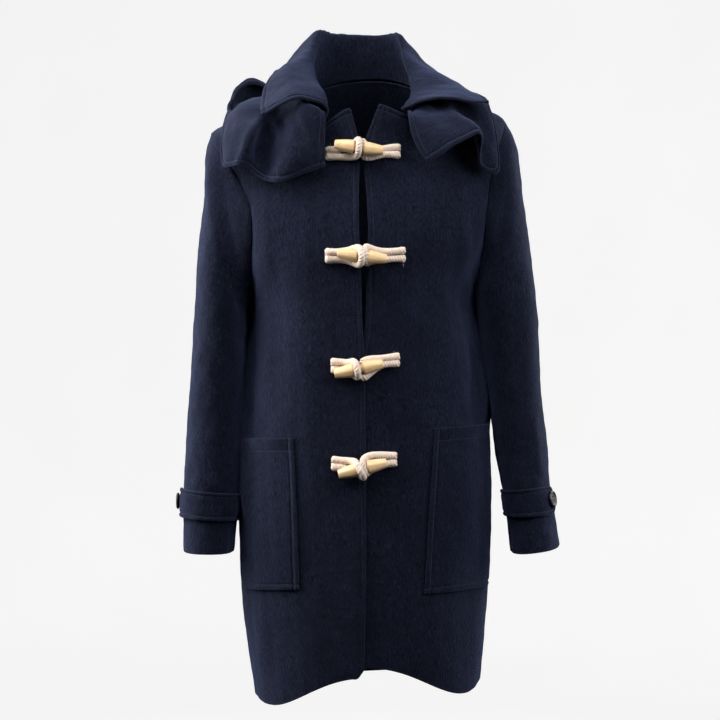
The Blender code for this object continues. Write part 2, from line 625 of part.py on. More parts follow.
def make_collar():
    places = np.linspace(0, len(COLLAR) - 1, 31)
    shares = np.array([0.0, 0.12, 0.22, 0.29, 0.34, 0.40, 0.5, 0.65, 0.82, 1.0])
    sheet_solid("collar", rib_grid(COLLAR, places, shares), DOUBLE_CLOTH, "navy_melton")


def make_hood():
    middle = (len(HOOD) - 1) / 2
    shares = np.array([0.0, 0.12, 0.25, 0.45, 0.62, 0.70, 0.76, 0.82, 0.90, 1.0])
    halves = {"right": (0, middle - HOOD_CENTRE_SHARE), "left": (middle + HOOD_CENTRE_SHARE, 2 * middle)}
    for side, (start, end) in halves.items():
        places = np.linspace(start, end, 23)
        grid = rib_grid(HOOD, places, shares, HOOD_SEAM_STEP)
        sheet_solid(f"hood_{side}", grid, DOUBLE_CLOTH, "navy_melton")


def fastening_frame(row):
    """The cloth's point under a toggle, with axes along the toggle, out of the cloth and up."""
    spec = dict(zip(FASTENING_COLUMNS, row))
    base = front_point("right", *place_at(spec["x"], spec["z"], "right"), CLOTH / 2)
    tilt = math.radians(spec["tilt_degrees"])
    out = np.array((0.0, -1.0, 0.0))
    axis = np.array((math.cos(tilt), 0.0, math.sin(tilt)))
    up = np.array((-math.sin(tilt), 0.0, math.cos(tilt)))
    return spec, base, axis, out, up


def cloth_back(frame, across, rise):
    """How far a cord's place lies back from a toggle's plane, counted beyond the toggle's middle."""
    spec, base, axis, out, up = frame
    place = base + axis * across + up * rise
    side = "right" if place[0] < FRONT_MEETING else "left"
    angle, level = place_at(place[0], place[2], side)
    surface = front_point(side, angle, level, CLOTH / 2)
    slope_share = 1 / abs(front_normal(side, angle, level)[1]) - 1
    near, far = ROPE_FOLLOWS
    share = min(max((abs(across) - near) / (far - near), 0.0), 1.0)
    return (surface[1] - base[1] - ROPE_STAND * slope_share) * share


def rope_path(row, knots, count):
    """A smooth cord through knots of (across, out of the cloth, up), over the cloth's own curve."""
    frame = fastening_frame(row)
    spec, base, axis, out, up = frame
    points = []
    for place in np.linspace(0, len(knots) - 1, count):
        across, stand, rise = along(knots, place)
        points.append(base + axis * across + up * rise + out * (stand - cloth_back(frame, across, rise)))
    return points


def holding_knots(reach):
    """The cord that carries the toggle: doubled on the right front, round the back of the groove."""
    s, w = ROPE_STAND, ROPE_HALF_SPACING
    return (
        (-reach, s, w),
        (-reach * 0.6, s, w * 1.05),
        (-0.010, s, w),
        (-0.001, s, w * 0.85),
        (0.0035, s, 0.0),
        (-0.001, s, -w * 0.85),
        (-0.010, s, -w),
        (-reach * 0.6, s, -w * 1.05),
        (-reach, s, -w),
    )


def catching_knots(reach):
    """The cord that catches the toggle: doubled on the left front, over the front of the groove."""
    s, w, n = ROPE_STAND, ROPE_HALF_SPACING, TOGGLE_STAND
    r = GROOVE_RADIUS + ROPE_RADIUS + WRAP_SPARE
    return (
        (reach, s, w),
        (reach * 0.7, s + 0.0012, w * 1.3),
        (0.0170, s + 0.0055, 0.0110),
        (0.0060, n - 0.0030, r + 0.0020),
        (0.0005, n + r * 0.58, r * 0.86),
        (-0.0003, n + r, 0.0),
        (0.0000, n + r * 0.58, -r * 0.86),
        (0.0035, n - 0.0040, -r - 0.0018),
        (0.0130, s + 0.0020, -0.0088),
        (reach * 0.7, s, -w * 1.1),
        (reach, s, -w),
    )


def make_fastenings():
    half, r, e = TOGGLE_LENGTH / 2, TOGGLE_RADIUS, TOGGLE_END_RADIUS
    profile = (
        (0.0, half),
        (e * 0.8, half),
        (e, half - 0.0010),
        (r * 0.86, half * 0.62),
        (r, half * 0.34),
        (r * 0.97, GROOVE_HALF + 0.0014),
        (GROOVE_RADIUS, GROOVE_HALF - 0.0008),
        (GROOVE_RADIUS, -GROOVE_HALF + 0.0008),
        (r * 0.97, -GROOVE_HALF - 0.0014),
        (r, -half * 0.34),
        (r * 0.86, -half * 0.62),
        (e, -half + 0.0010),
        (e * 0.8, -half),
        (0.0, -half),
    )
    for number, row in enumerate(FASTENINGS, 1):
        spec, base, axis, out, up = fastening_frame(row)
        toggle = turned_solid(f"toggle_{number}", profile, 12, "bamboo")
        turn_to(toggle, base + out * TOGGLE_STAND, up, axis)
        right = rope_path(row, holding_knots(spec["right_reach"]), 19)
        left = rope_path(row, catching_knots(spec["left_reach"]), 27)
        rope_solid(f"toggle_cord_right_{number}", right, ROPE_RADIUS, "cotton_cord")
        rope_solid(f"toggle_cord_left_{number}", left, ROPE_RADIUS, "cotton_cord")


for old in list(bpy.data.objects):
    bpy.data.objects.remove(old, do_unlink=True)
coat = bpy.data.collections.new("duffle_coat")
bpy.context.scene.collection.children.link(coat)
make_body()
make_sleeves()
make_tabs()
make_pockets()
make_collar()
make_hood()
make_fastenings()
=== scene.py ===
"""The duffle coat as worn: hollow wool cloth on a general figure, with creases, topstitching, twisted
cotton cords and bamboo toggles, in front of a pale studio backdrop. Metres, in the CAD model's frame."""

import math

import bpy
import numpy as np
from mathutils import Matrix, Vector


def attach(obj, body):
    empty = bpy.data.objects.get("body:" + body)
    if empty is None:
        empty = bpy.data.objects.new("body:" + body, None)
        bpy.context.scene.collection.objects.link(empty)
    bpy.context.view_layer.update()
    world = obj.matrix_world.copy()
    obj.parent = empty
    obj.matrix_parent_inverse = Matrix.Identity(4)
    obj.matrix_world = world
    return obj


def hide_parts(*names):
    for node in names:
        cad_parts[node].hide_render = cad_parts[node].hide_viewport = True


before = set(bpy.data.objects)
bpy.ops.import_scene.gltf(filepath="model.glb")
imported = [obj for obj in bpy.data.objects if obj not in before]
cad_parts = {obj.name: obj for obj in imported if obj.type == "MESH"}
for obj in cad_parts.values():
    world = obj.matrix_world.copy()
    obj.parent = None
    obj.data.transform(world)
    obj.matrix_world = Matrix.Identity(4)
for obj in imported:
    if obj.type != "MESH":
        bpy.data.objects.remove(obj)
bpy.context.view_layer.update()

scene = bpy.context.scene

# ------------------------------------------------------------------ camera
CAMERA_PLACE, CAMERA_LENS, SENSOR = (-0.0039, -2.4, -0.3445), 92.3, 36.0
camera_data = bpy.data.cameras.new("studio_view")
camera_data.lens, camera_data.sensor_width = CAMERA_LENS, SENSOR
camera = bpy.data.objects.new("studio_view", camera_data)
camera.location = CAMERA_PLACE
camera.rotation_euler = (math.radians(90), 0.0, 0.0)
scene.collection.objects.link(camera)
scene.camera = camera

# ------------------------------------------------------------------ driving dimensions
GAP = 0.0003  # between neighbouring pieces
CLOTH = 0.0025  # melton of the body, sleeves and pockets
DOUBLE_CLOTH = 0.0032  # collar and hood
TAB_CLOTH = 0.0030  # strap on each cuff
LEAN = 0.05  # rise of every level towards the wearer's left, metres a metre
OVERLAP_RISE, LAP_WIDTH = 0.0021, 0.055  # the right front stands out by this and the left one in

BODY_RADIUS = 0.15  # about: turns a length round the body into an angle
FRONT_ANGLE, SIDE_LEFT, SIDE_RIGHT = -90.0, 0.0, 180.0

# The body, from hem to neck: a superellipse at each level, its own height at front, side and back.
RING_COLUMNS = (
    "z_front", "z_side", "z_back", "x_right", "x_left", "y_front", "y_side", "y_back", "power",
)
RINGS = {
    "hem": (-0.738, -0.764, -0.766, -0.139, 0.151, -0.118, 0.000, 0.102, 2.3),
    "thigh": (-0.655, -0.662, -0.668, -0.154, 0.159, -0.123, 0.008, 0.108, 2.4),
    "hip": (-0.550, -0.550, -0.555, -0.161, 0.165, -0.127, 0.016, 0.114, 2.5),
    "pocket": (-0.440, -0.440, -0.440, -0.1575, 0.1635, -0.129, 0.028, 0.112, 2.5),
    "waist": (-0.345, -0.345, -0.345, -0.150, 0.1545, -0.127, 0.034, 0.105, 2.4),
    "underarm": (-0.262, -0.272, -0.268, -0.145, 0.142, -0.129, 0.022, 0.107, 2.3),
    "bust": (-0.208, -0.205, -0.200, -0.170, 0.170, -0.131, 0.006, 0.113, 2.3),
    "chest": (-0.163, -0.143, -0.140, -0.187, 0.185, -0.126, 0.000, 0.114, 2.3),
    "yoke": (-0.134, -0.088, -0.082, -0.194, 0.186, -0.118, 0.000, 0.104, 2.3),
    "shoulder": (-0.111, -0.042, -0.034, -0.195, 0.181, -0.110, 0.000, 0.088, 2.2),
    "trapezius": (-0.094, -0.021, -0.003, -0.131, 0.126, -0.104, 0.000, 0.076, 2.1),
    "neck": (-0.078, 0.004, 0.026, -0.078, 0.077, -0.100, 0.000, 0.062, 2.4),
}
RING_NAMES = list(RINGS)
UNDERARM = RING_NAMES.index("underarm")
SHOULDER = RING_NAMES.index("shoulder")
NECK = RING_NAMES.index("neck")
# How far each front's hem rises at its free edge, and halfway to the side seam.
HEM = {"right": {"edge": 0.0, "corner": -0.020}, "left": {"edge": 0.011, "corner": -0.0215}}
ARMHOLE_DIP = {"right": 43.0, "left": 34.0, "back": 31.0}  # degrees the armhole cuts into a panel

# The free edge of each front: height, then the x of the right front's edge and of the left one's.
FRONT_EDGES = (
    (-0.740, 0.0010, -0.0140),
    (-0.600, 0.0035, -0.0140),
    (-0.450, 0.0030, -0.0120),
    (-0.370, 0.0022, -0.0070),
    (-0.335, 0.0012, -0.0025),
    (-0.300, -0.0010, 0.0024),
    (-0.240, -0.0026, 0.0045),
    (-0.180, -0.0052, 0.0062),
    (-0.140, -0.0055, 0.0042),
    (-0.095, -0.0042, 0.0000),
    (-0.066, -0.0068, 0.0036),
    (-0.028, -0.0170, 0.0210),
)
CORNER_LEVELS = 3.0  # the throat corners rise and turn out over this many of the top levels
CORNER_RISE = {"right": 0.043, "left": 0.047}
CORNER_OUT = {"right": 0.006, "left": 0.008}
CORNER_FLAT, CORNER_REACH = 0.017, {"right": 0.033, "left": 0.040}

# Each sleeve from armhole to cuff: the outer and inner line of each section, and its front and back.
SLEEVE_COLUMNS = ("outer_x", "outer_z", "inner_x", "inner_z", "y_front", "y_back")
SLEEVES = {
    "left": (
        (0.1955, -0.068, 0.1510, -0.293, -0.079, 0.068),
        (0.2055, -0.138, 0.1545, -0.318, -0.080, 0.068),
        (0.2145, -0.208, 0.1575, -0.345, -0.080, 0.064),
        (0.2210, -0.270, 0.1610, -0.372, -0.079, 0.058),
        (0.2250, -0.340, 0.1655, -0.408, -0.079, 0.050),
        (0.2300, -0.400, 0.1690, -0.445, -0.081, 0.041),
        (0.2355, -0.455, 0.1735, -0.480, -0.084, 0.030),
        (0.2380, -0.505, 0.1795, -0.515, -0.087, 0.020),
        (0.2490, -0.5815, 0.1895, -0.590, -0.092, 0.010),
    ),
    "right": (
        (-0.2025, -0.082, -0.1520, -0.293, -0.081, 0.068),
        (-0.2055, -0.146, -0.1535, -0.318, -0.082, 0.068),
        (-0.2125, -0.212, -0.1535, -0.345, -0.082, 0.064),
        (-0.2160, -0.275, -0.1540, -0.372, -0.080, 0.058),
        (-0.2200, -0.345, -0.1555, -0.408, -0.079, 0.050),
        (-0.2235, -0.415, -0.1580, -0.445, -0.080, 0.041),
        (-0.2260, -0.460, -0.1600, -0.480, -0.082, 0.031),
        (-0.2290, -0.505, -0.1610, -0.515, -0.084, 0.022),
        (-0.2285, -0.588, -0.1655, -0.589, -0.088, 0.014),
    ),
}
SLEEVE_SEAM_FRONT, SLEEVE_SEAM_BACK = 170.0, 300.0  # the under sleeve lies between these, in degrees
SEAM_SPARE = 0.6  # degrees that each sleeve piece stops short of its seams
SLEEVE_START = -0.0008  # the sleeve head stands this far off the armhole's edge

# Cuff strap: from the inner seam across the front to its rounded end, buttoned on the outside.
TAB_LEVEL = {"left": 8.22, "right": 8.28}  # sleeve section that its middle follows
TAB_WIDTH = 0.038
TAB_ANGLES = {"left": (172.0, 26.0), "right": (172.0, -22.0)}
TAB_RISE = {"left": 0.006, "right": 0.004}  # the inner end sits this much higher
TAB_SPARE = 0.0012  # the strap stands this much more than a seam's gap off the sleeve
TAB_END = 0.12  # share of the strap that its rounded end takes
BUTTON_RADIUS, BUTTON_THICK = 0.0105, 0.0036
BUTTON_AT, BUTTON_SPARE = 0.9, 0.0005  # how far back from the strap's end, in rounded ends, and off its face
# Both are (share of the radius, share of the thickness): the rimmed face, then the edge and back.
BUTTON_FACE = ((0.0, 0.72), (0.62, 0.72), (0.78, 1.0), (0.94, 0.94), (1.0, 0.6))
BUTTON_BACK = ((1.0, 0.72), (1.0, 0.50), (0.96, 0.28), (0.90, 0.12), (0.80, 0.0), (0.40, 0.0), (0.02, 0.0))
HOLE_OFFSET, HOLE_RADIUS, HOLE_DEPTH = 0.0024, 0.00105, 0.0016

POCKET_COLUMNS = ("front_top_x", "front_bottom_x", "side_angle", "top_z", "bottom_z")
POCKETS = {
    "right": (-0.0835, -0.0780, -152.0, -0.4410, -0.6285),
    "left": (0.0870, 0.0745, -16.0, -0.4290, -0.6330),
}

# Collar: ribs round the neck, from the right front end to the left one. Each row is an angle on the
# neckline, then the places, in millimetres, of the roll, the middle of the fall and its edge.
COLLAR = (
    (-123, (-45.5, -96, -30), (-80, -119, -20.5), (-125.5, -108, -40.5)),
    (-137, (-51, -78, -8), (-88, -94, -5), (-129, -84, -26)),
    (-156, (-59, -48, 11), (-93, -62, 16), (-127.5, -56, -6)),
    (-176, (-65.5, -20, 34), (-94, -30, 36), (-121, -28, 14)),
    (168, (-64, 6, 62), (-91.5, 8, 44), (-112, 0, 29)),
    (148, (-55.5, 30, 85), (-81.5, 42, 68.5), (-99, 52, 30)),
    (120, (-37, 50, 87), (-50, 82, 60), (-60, 101, 18)),
    (90, (-5, 58, 87), (-4, 94, 58), (-3, 114, 12)),
    (60, (27, 50, 86), (43, 82, 58), (56, 101, 15)),
    (32, (46, 30, 82), (69, 43, 60), (98, 52, 24)),
    (12, (50, 8, 57), (78.5, 10, 40.5), (118, 2, 17)),
    (-4, (57, -16, 31), (96, -24, 24), (136, -24, 2)),
    (-20, (62, -46, 4), (104, -56, 3), (150, -50, -8.5)),
    (-38, (61, -74, -14), (104, -90, -11), (156, -72, -18)),
    (-51, (53, -93, -31), (93, -115, -20), (157.5, -88, -22.5)),
)

# Hood, thrown back: ribs from the right throat round the back to the left throat. Each row is an angle on
# the neckline, then the places, in millimetres, of three points down the rib and of the hood's face edge.
HOOD = (
    (-124, (-47.5, -110.5, -40), (-47, -118, -70), (-46.8, -123.5, -88), (-46.8, -126, -106)),
    (-133, (-60, -110.5, -32), (-64, -124, -70), (-68, -129, -94), (-73, -127, -115)),
    (-143, (-76, -104, -30), (-88, -120, -70), (-96, -128, -100), (-101, -124, -125)),
    (-153, (-90, -86, -34), (-113, -96, -68), (-120, -104, -98), (-123, -113, -121)),
    (-161, (-100, -72, -28), (-133, -106, -56), (-142, -116, -80), (-149, -112, -104)),
    (-168, (-104, -56, -20), (-148, -84, -38), (-164, -88, -68), (-176, -82, -101)),
    (-174, (-106, -42, -14), (-150, -62, -23), (-167, -66, -42), (-179.5, -60, -62)),
    (179, (-106, -24, -8), (-148, -38, -13.5), (-164, -38, -25.5), (-177.5, -30, -34.5)),
    (168, (-104, 6, 1), (-142, 24, -6), (-170, 42, -20), (-169.5, 14, 4)),
    (156, (-98, 48, 6), (-133, 85, -30), (-162, 105, -66), (-160.5, 50, 25)),
    (142, (-84, 76, 10), (-108, 127, -90), (-132, 158, -150), (-138, 86, 32.5)),
    (118, (-45, 92, 14), (-56, 142, -130), (-70, 176, -222), (-82, 146, 8)),
    (91, (-3, 95, 14), (-3, 145, -140), (-3, 180, -250), (-3, 174, -23)),
    (62, (41, 92, 13), (52, 142, -130), (65, 176, -222), (76, 152, -8)),
    (38, (80, 76, 8), (102, 126, -90), (124, 156, -150), (128, 102, 4)),
    (24, (96, 48, 6), (129, 88, -26), (153, 106, -64), (154, 60, -4)),
    (12, (102, 6, 10), (136, 24, -4), (156, 42, -14), (162, 12, -10)),
    (1, (104, -24, 6), (138, -39, -12), (152, -43, -16), (161, -44, -21)),
    (-6, (104, -42, 0), (140, -66, -24), (156, -76, -42), (167, -78, -60)),
    (-12, (103, -56, -10), (142, -84, -44), (156, -94, -76), (169, -96, -110)),
    (-19, (101, -72, -20), (131, -90, -50), (142, -100, -78), (147, -106, -103)),
    (-26, (93, -86, -32), (120, -108, -42), (137, -126, -56), (144, -142, -70)),
    (-33, (82, -98, -36), (102, -118, -50), (113, -133, -64), (120, -144, -78)),
    (-43, (68, -106, -40), (78, -124, -60), (86, -134, -78), (93, -140, -94)),
    (-51, (56, -110.5, -44), (60, -122, -66), (68, -130, -86), (79, -135, -101)),
)
HOOD_SEAM_STEP = 0.0055  # the hood's seam lies this far out from the collar's
NECK_SEAM_RISE = 0.0035  # collar and hood start this far above the neckline's edge
HOOD_CENTRE_SHARE = 0.006  # each half stops this part of a row short of the centre seam

FASTENINGS = (  # centre of each toggle (x and z) and its tilt in degrees, from the neck down
    (-0.0052, -0.0822, -7.0), (-0.0013, -0.2177, -7.0), (-0.0055, -0.3552, 11.0), (-0.0006, -0.4770, 13.0),
)
FRONT_MEETING = 0.001  # x where the cords pass from one front to the other
TOGGLE_STAND = 0.0160  # toggle axis over the cloth
CORD_FOLLOWS = (0.008, 0.024)  # how far out a cord starts to follow the cloth's curve, and fully does
POCKET_SPARE = 0.0003  # the pockets stand this much more than a seam's gap off the fronts
EDGE_BIAS = 1.2  # packs the fronts' columns towards their free edges
SEAM_ANGLE = math.degrees(GAP / BODY_RADIUS)  # each body panel stops this many degrees short of its side seam

# What each piece was cut to: the area of a shaped piece in square metres.
FRONT_AREA, BACK_AREA, UPPER_SLEEVE_AREA, UNDER_SLEEVE_AREA = 0.175, 0.318, 0.103, 0.043


# ------------------------------------------------------------------ curves through rows
def curve(p0, p1, p2, p3, f):
    """The value a share f of the way from p1 to p2, on a smooth curve through all four."""
    m1, m2 = (p2 - p0) / 2, (p3 - p1) / 2
    h = (2 * f**3 - 3 * f**2 + 1, f**3 - 2 * f**2 + f, 3 * f**2 - 2 * f**3, f**3 - f**2)
    return h[0] * p1 + h[1] * m1 + h[2] * p2 + h[3] * m2


def along(rows, place):
    """The value at a place (0 is the first row, 1 the next) on a smooth curve through the rows."""
    rows = np.asarray(rows, float)
    last = len(rows) - 1
    place = min(max(place, 0.0), float(last))
    start = min(int(place), last - 1)
    p1, p2 = rows[start], rows[start + 1]
    p0 = rows[start - 1] if start > 0 else 2 * p1 - p2
    p3 = rows[start + 2] if start + 2 <= last else 2 * p2 - p1
    return curve(p0, p1, p2, p3, place - start)


def between(table, z, column):
    """A column of a table whose first column rises, at height z."""
    heights = [row[0] for row in table]
    return float(np.interp(z, heights, [row[column] for row in table]))


# ------------------------------------------------------------------ body surface
def body_ring(level):
    return dict(zip(RING_COLUMNS, along(list(RINGS.values()), level)))


def body_point(angle, level):
    """A point of the body's surface. The angle is 0 at the wearer's left side and -90 at the front."""
    ring = body_ring(level)
    c, s = math.cos(math.radians(angle)), math.sin(math.radians(angle))
    reach = ring["x_left"] if c >= 0 else -ring["x_right"]
    power = 2.0 / ring["power"]
    x = reach * math.copysign(abs(c) ** power, c)
    reach_y = ring["y_side"] - ring["y_front"] if s < 0 else ring["y_back"] - ring["y_side"]
    y = ring["y_side"] + reach_y * math.copysign(abs(s) ** power, s)
    far = ring["z_front"] if s < 0 else ring["z_back"]
    z = ring["z_side"] + (far - ring["z_side"]) * s * s
    if s < 0:
        hem = HEM["left" if c >= 0 else "right"]
        z += (hem["edge"] * s * s + hem["corner"] * (2 * s * c) ** 2) * max(0.0, 1.0 - level)
    return np.array((x, y, z + LEAN * x))


def body_normal(angle, level):
    step = 0.4
    across = body_point(angle + step, level) - body_point(angle - step, level)
    lower, upper = max(level - 0.05, 0.0), min(level + 0.05, float(NECK))
    up = body_point(angle, upper) - body_point(angle, lower)
    normal = np.cross(across, up)
    return normal / np.linalg.norm(normal)


def angle_at_x(x, level):
    """The front's angle where it crosses x."""
    ring = body_ring(level)
    reach = ring["x_left"] if x >= 0 else -ring["x_right"]
    c = min(abs(x / reach), 1.0) ** (ring["power"] / 2.0)
    return FRONT_ANGLE + math.copysign(90.0 - math.degrees(math.acos(c)), x)


def place_at(x, z, side=None):
    """The (angle, level) of the front at a place seen from the front."""
    side = side or ("left" if x > 0 else "right")
    low, high = 0.0, NECK - 0.01
    for _ in range(30):
        level = (low + high) / 2
        if front_point(side, angle_at_x(x, level), level)[2] < z:
            low = level
        else:
            high = level
    return angle_at_x(x, level), level


def armhole_dip(level, which):
    if not UNDERARM < level < SHOULDER:
        return 0.0
    share = (level - UNDERARM) / (SHOULDER - UNDERARM)
    return ARMHOLE_DIP[which] * math.sin(math.pi * share) ** 0.5


def corner_share(side, x, level):
    """How much of the throat corner's rise a place of the front takes."""
    height = max(0.0, (level - NECK + CORNER_LEVELS) / CORNER_LEVELS)
    aside = min(max((abs(x) - CORNER_FLAT) / CORNER_REACH[side], 0.0), 1.0)
    return height**2 * (1 - aside**1.5)


def front_edge_angle(side, level):
    z = body_point(FRONT_ANGLE, level)[2] + CORNER_RISE[side] * corner_share(side, 0.0, level)
    return angle_at_x(between(FRONT_EDGES, z, 1 if side == "right" else 2), level)


def front_point(side, angle, level, out=0.0):
    """A point of one front: the fronts lie over each other, and their throat corners rise and turn out."""
    point = body_point(angle, level)
    x = point[0]
    lap = OVERLAP_RISE * math.exp(-((x / LAP_WIDTH) ** 2)) * (1 if side == "right" else -1)
    corner = corner_share(side, x, level)
    point = point + body_normal(angle, level) * (lap + out + CORNER_OUT[side] * corner**1.5)
    point[2] += CORNER_RISE[side] * corner
    return point


def front_grid(side, columns, rows):
    """Points of one front, from its free edge to the side seam and armhole, hem to neckline."""
    grid = []
    for level in rows:
        inner = front_edge_angle(side, level)
        dip = armhole_dip(level, side)
        outer = SIDE_LEFT - dip if side == "left" else -SIDE_RIGHT + dip
        outer += SEAM_ANGLE * (1 if side == "right" else -1)
        line = []
        for step in np.linspace(0.0, 1.0, columns) ** EDGE_BIAS:
            line.append(front_point(side, inner + (outer - inner) * step, level))
        grid.append(line)
    return np.array(grid)


def back_grid(columns, rows):
    grid = []
    for level in rows:
        dip = armhole_dip(level, "back")
        start, end = SIDE_LEFT + dip + SEAM_ANGLE, SIDE_RIGHT - dip - SEAM_ANGLE
        grid.append([body_point(start + (end - start) * s, level) for s in np.linspace(0, 1, columns)])
    return np.array(grid)


def body_levels(count_low, count_arm, count_top):
    """Levels hem to neck, close together where the armhole's curve turns."""
    low = np.linspace(0.0, UNDERARM, count_low + 1)[:-1]
    turn = (1 - np.cos(np.linspace(0, math.pi, count_arm + 1))) / 2
    arm = UNDERARM + (SHOULDER - UNDERARM) * turn
    top = np.linspace(SHOULDER, NECK, count_top + 1)[1:]
    return np.concatenate([low, arm, top])


# ------------------------------------------------------------------ sleeves
def armhole_place(side, angle):
    """The body's (angle, level) at the armhole's seam, for an angle round the armhole."""
    level = UNDERARM + (SHOULDER - UNDERARM) * (1 + math.cos(math.radians(angle))) / 2
    at_front = math.sin(math.radians(angle)) >= 0
    dip = armhole_dip(level, side if at_front else "back") * (-1 if at_front else 1)
    return (SIDE_LEFT + dip if side == "left" else SIDE_RIGHT - dip), level


def armhole_point(side, angle):
    """The armhole's seam. The angle is 0 at the shoulder, 90 at the front and 180 under the arm."""
    return body_point(*armhole_place(side, angle))


def armhole_normal(side, angle):
    return body_normal(*armhole_place(side, angle))


def sleeve_section(side, index, angle):
    row = dict(zip(SLEEVE_COLUMNS, SLEEVES[side][index]))
    c, s = math.cos(math.radians(angle)), math.sin(math.radians(angle))
    outer = np.array((row["outer_x"], 0.0, row["outer_z"]))
    inner = np.array((row["inner_x"], 0.0, row["inner_z"]))
    middle_y, half_y = (row["y_front"] + row["y_back"]) / 2, (row["y_back"] - row["y_front"]) / 2
    c2, s2 = (math.copysign(abs(v) ** (2 / 2.2), v) for v in (c, s))
    return (outer + inner) / 2 + (outer - inner) / 2 * c2 + np.array((0.0, middle_y - half_y * s2, 0.0))


def sleeve_point(side, angle, place):
    """Place 0 is the armhole's seam, 1 the first section under it and 9 the cuff."""
    rows = [armhole_point(side, angle)]
    rows += [sleeve_section(side, index, angle) for index in range(len(SLEEVES[side]))]
    first = rows[1] - rows[0]
    under = (1 - math.cos(math.radians(angle))) / 2
    outward = armhole_normal(side, angle) * (CLOTH + 2 * GAP)
    rows[0] = rows[0] + outward * under + first / np.linalg.norm(first) * SLEEVE_START * (1 - under)
    return along(rows, place)


def sleeve_normal(side, angle, place):
    across = sleeve_point(side, angle + 1, place) - sleeve_point(side, angle - 1, place)
    down = sleeve_point(side, angle, place + 0.05) - sleeve_point(side, angle, place - 0.05)
    normal = np.cross(across, down)
    centre = (sleeve_point(side, 0, place) + sleeve_point(side, 180, place)) / 2
    point = sleeve_point(side, angle, place)
    normal = normal / np.linalg.norm(normal)
    return normal if np.dot(normal, point - centre) > 0 else -normal


def sleeve_grid(side, angles, places):
    return np.array([[sleeve_point(side, angle, place) for angle in angles] for place in places])


# ------------------------------------------------------------------ neck pieces
def neck_point(angle, out):
    """The start of a collar or hood rib, over the neckline's edge."""
    side = "left" if -90 <= angle <= 90 else "right"
    point = front_point(side, angle, NECK) if -180 < angle < 0 else body_point(angle, NECK)
    outward = np.array((point[0], point[1] + 0.015, 0.0))
    outward = outward / np.linalg.norm(outward)
    return point + outward * out + np.array((0.0, 0.0, NECK_SEAM_RISE))


def rib_point(table, place, share, out):
    """A point of the collar or hood: place runs along the table's rows, share along a rib."""
    angles = np.unwrap([math.radians(row[0]) for row in table])
    angle = math.degrees(float(along(angles.reshape(-1, 1), place)[0]))
    angle = (angle + 180) % 360 - 180
    knots = [neck_point(angle, out)]
    knots += [along([row[column] for row in table], place) / 1000 for column in range(1, len(table[0]))]
    return along(knots, share * (len(knots) - 1))


def rib_grid(table, places, shares, out=0.0):
    return np.array([[rib_point(table, place, share, out) for place in places] for share in shares])


# ------------------------------------------------------------------ materials
class Nodes:
    """Short names for building one material's nodes."""

    def __init__(self, name):
        self.made = bpy.data.materials.new(name)
        self.made.use_nodes = True
        self.tree = self.made.node_tree
        self.shader = self.tree.nodes["Principled BSDF"]

    def add(self, kind, **values):
        node = self.tree.nodes.new(kind)
        for key, value in values.items():
            if key in node.inputs:
                node.inputs[key].default_value = value
            else:
                setattr(node, key, value)
        return node

    def join(self, source, target):
        self.tree.links.new(source, target)

    def place(self, scale=(1, 1, 1), turn=(0, 0, 0)):
        where = self.add("ShaderNodeTexCoord")
        mapping = self.add("ShaderNodeMapping", Scale=scale, Rotation=turn)
        self.join(where.outputs["Object"], mapping.inputs["Vector"])
        return mapping.outputs["Vector"]

    def noise(self, scale, detail, roughness, at=None, distortion=0.0):
        node = self.add("ShaderNodeTexNoise", Scale=scale, Detail=detail, Roughness=roughness)
        node.inputs["Distortion"].default_value = distortion
        self.join(at or self.place(), node.inputs["Vector"])
        return node.outputs["Fac"]

    def ramp(self, source, *stops):
        node = self.add("ShaderNodeValToRGB")
        while len(node.color_ramp.elements) < len(stops):
            node.color_ramp.elements.new(0.5)
        for element, (at, colour) in zip(node.color_ramp.elements, stops):
            element.position = at
            element.color = (*colour, 1.0)
        self.join(source, node.inputs["Fac"])
        return node.outputs["Color"]

    def mix(self, share, base, colour):
        node = self.add("ShaderNodeMix", data_type="RGBA", blend_type="MIX")
        self.join(share, node.inputs[0])
        self.join(base, node.inputs[6])
        node.inputs[7].default_value = (*colour, 1.0)
        return node.outputs[2]

    def tint(self, base, source, low, high, colour):
        """Mixes a colour in by a source. Low and high are (value of the source, share of the colour)."""
        share = self.ramp(source, (low[0], (low[1],) * 3), (high[0], (high[1],) * 3))
        return self.mix(share, base, colour)

    def math(self, operation, a, b=0.5):
        node = self.add("ShaderNodeMath", operation=operation)
        for value, socket in ((a, node.inputs[0]), (b, node.inputs[1])):
            if isinstance(value, bpy.types.NodeSocket):
                self.join(value, socket)
            else:
                socket.default_value = value
        return node.outputs[0]

    def attribute(self, name):
        return self.add("ShaderNodeAttribute", attribute_name=name).outputs["Fac"]

    def colour(self, base):
        self.join(base, self.shader.inputs["Base Color"])

    def rough(self, source, low, high, stops=(0.3, 0.7)):
        grey = self.ramp(source, (stops[0], (low,) * 3), (stops[1], (high,) * 3))
        self.join(grey, self.shader.inputs["Roughness"])

    def bump(self, height, strength, distance):
        node = self.add("ShaderNodeBump", Strength=strength, Distance=distance)
        self.join(height, node.inputs["Height"])
        self.join(node.outputs["Normal"], self.shader.inputs["Normal"])

    def set(self, **values):
        for key, value in values.items():
            self.shader.inputs[key.replace("_", " ")].default_value = value


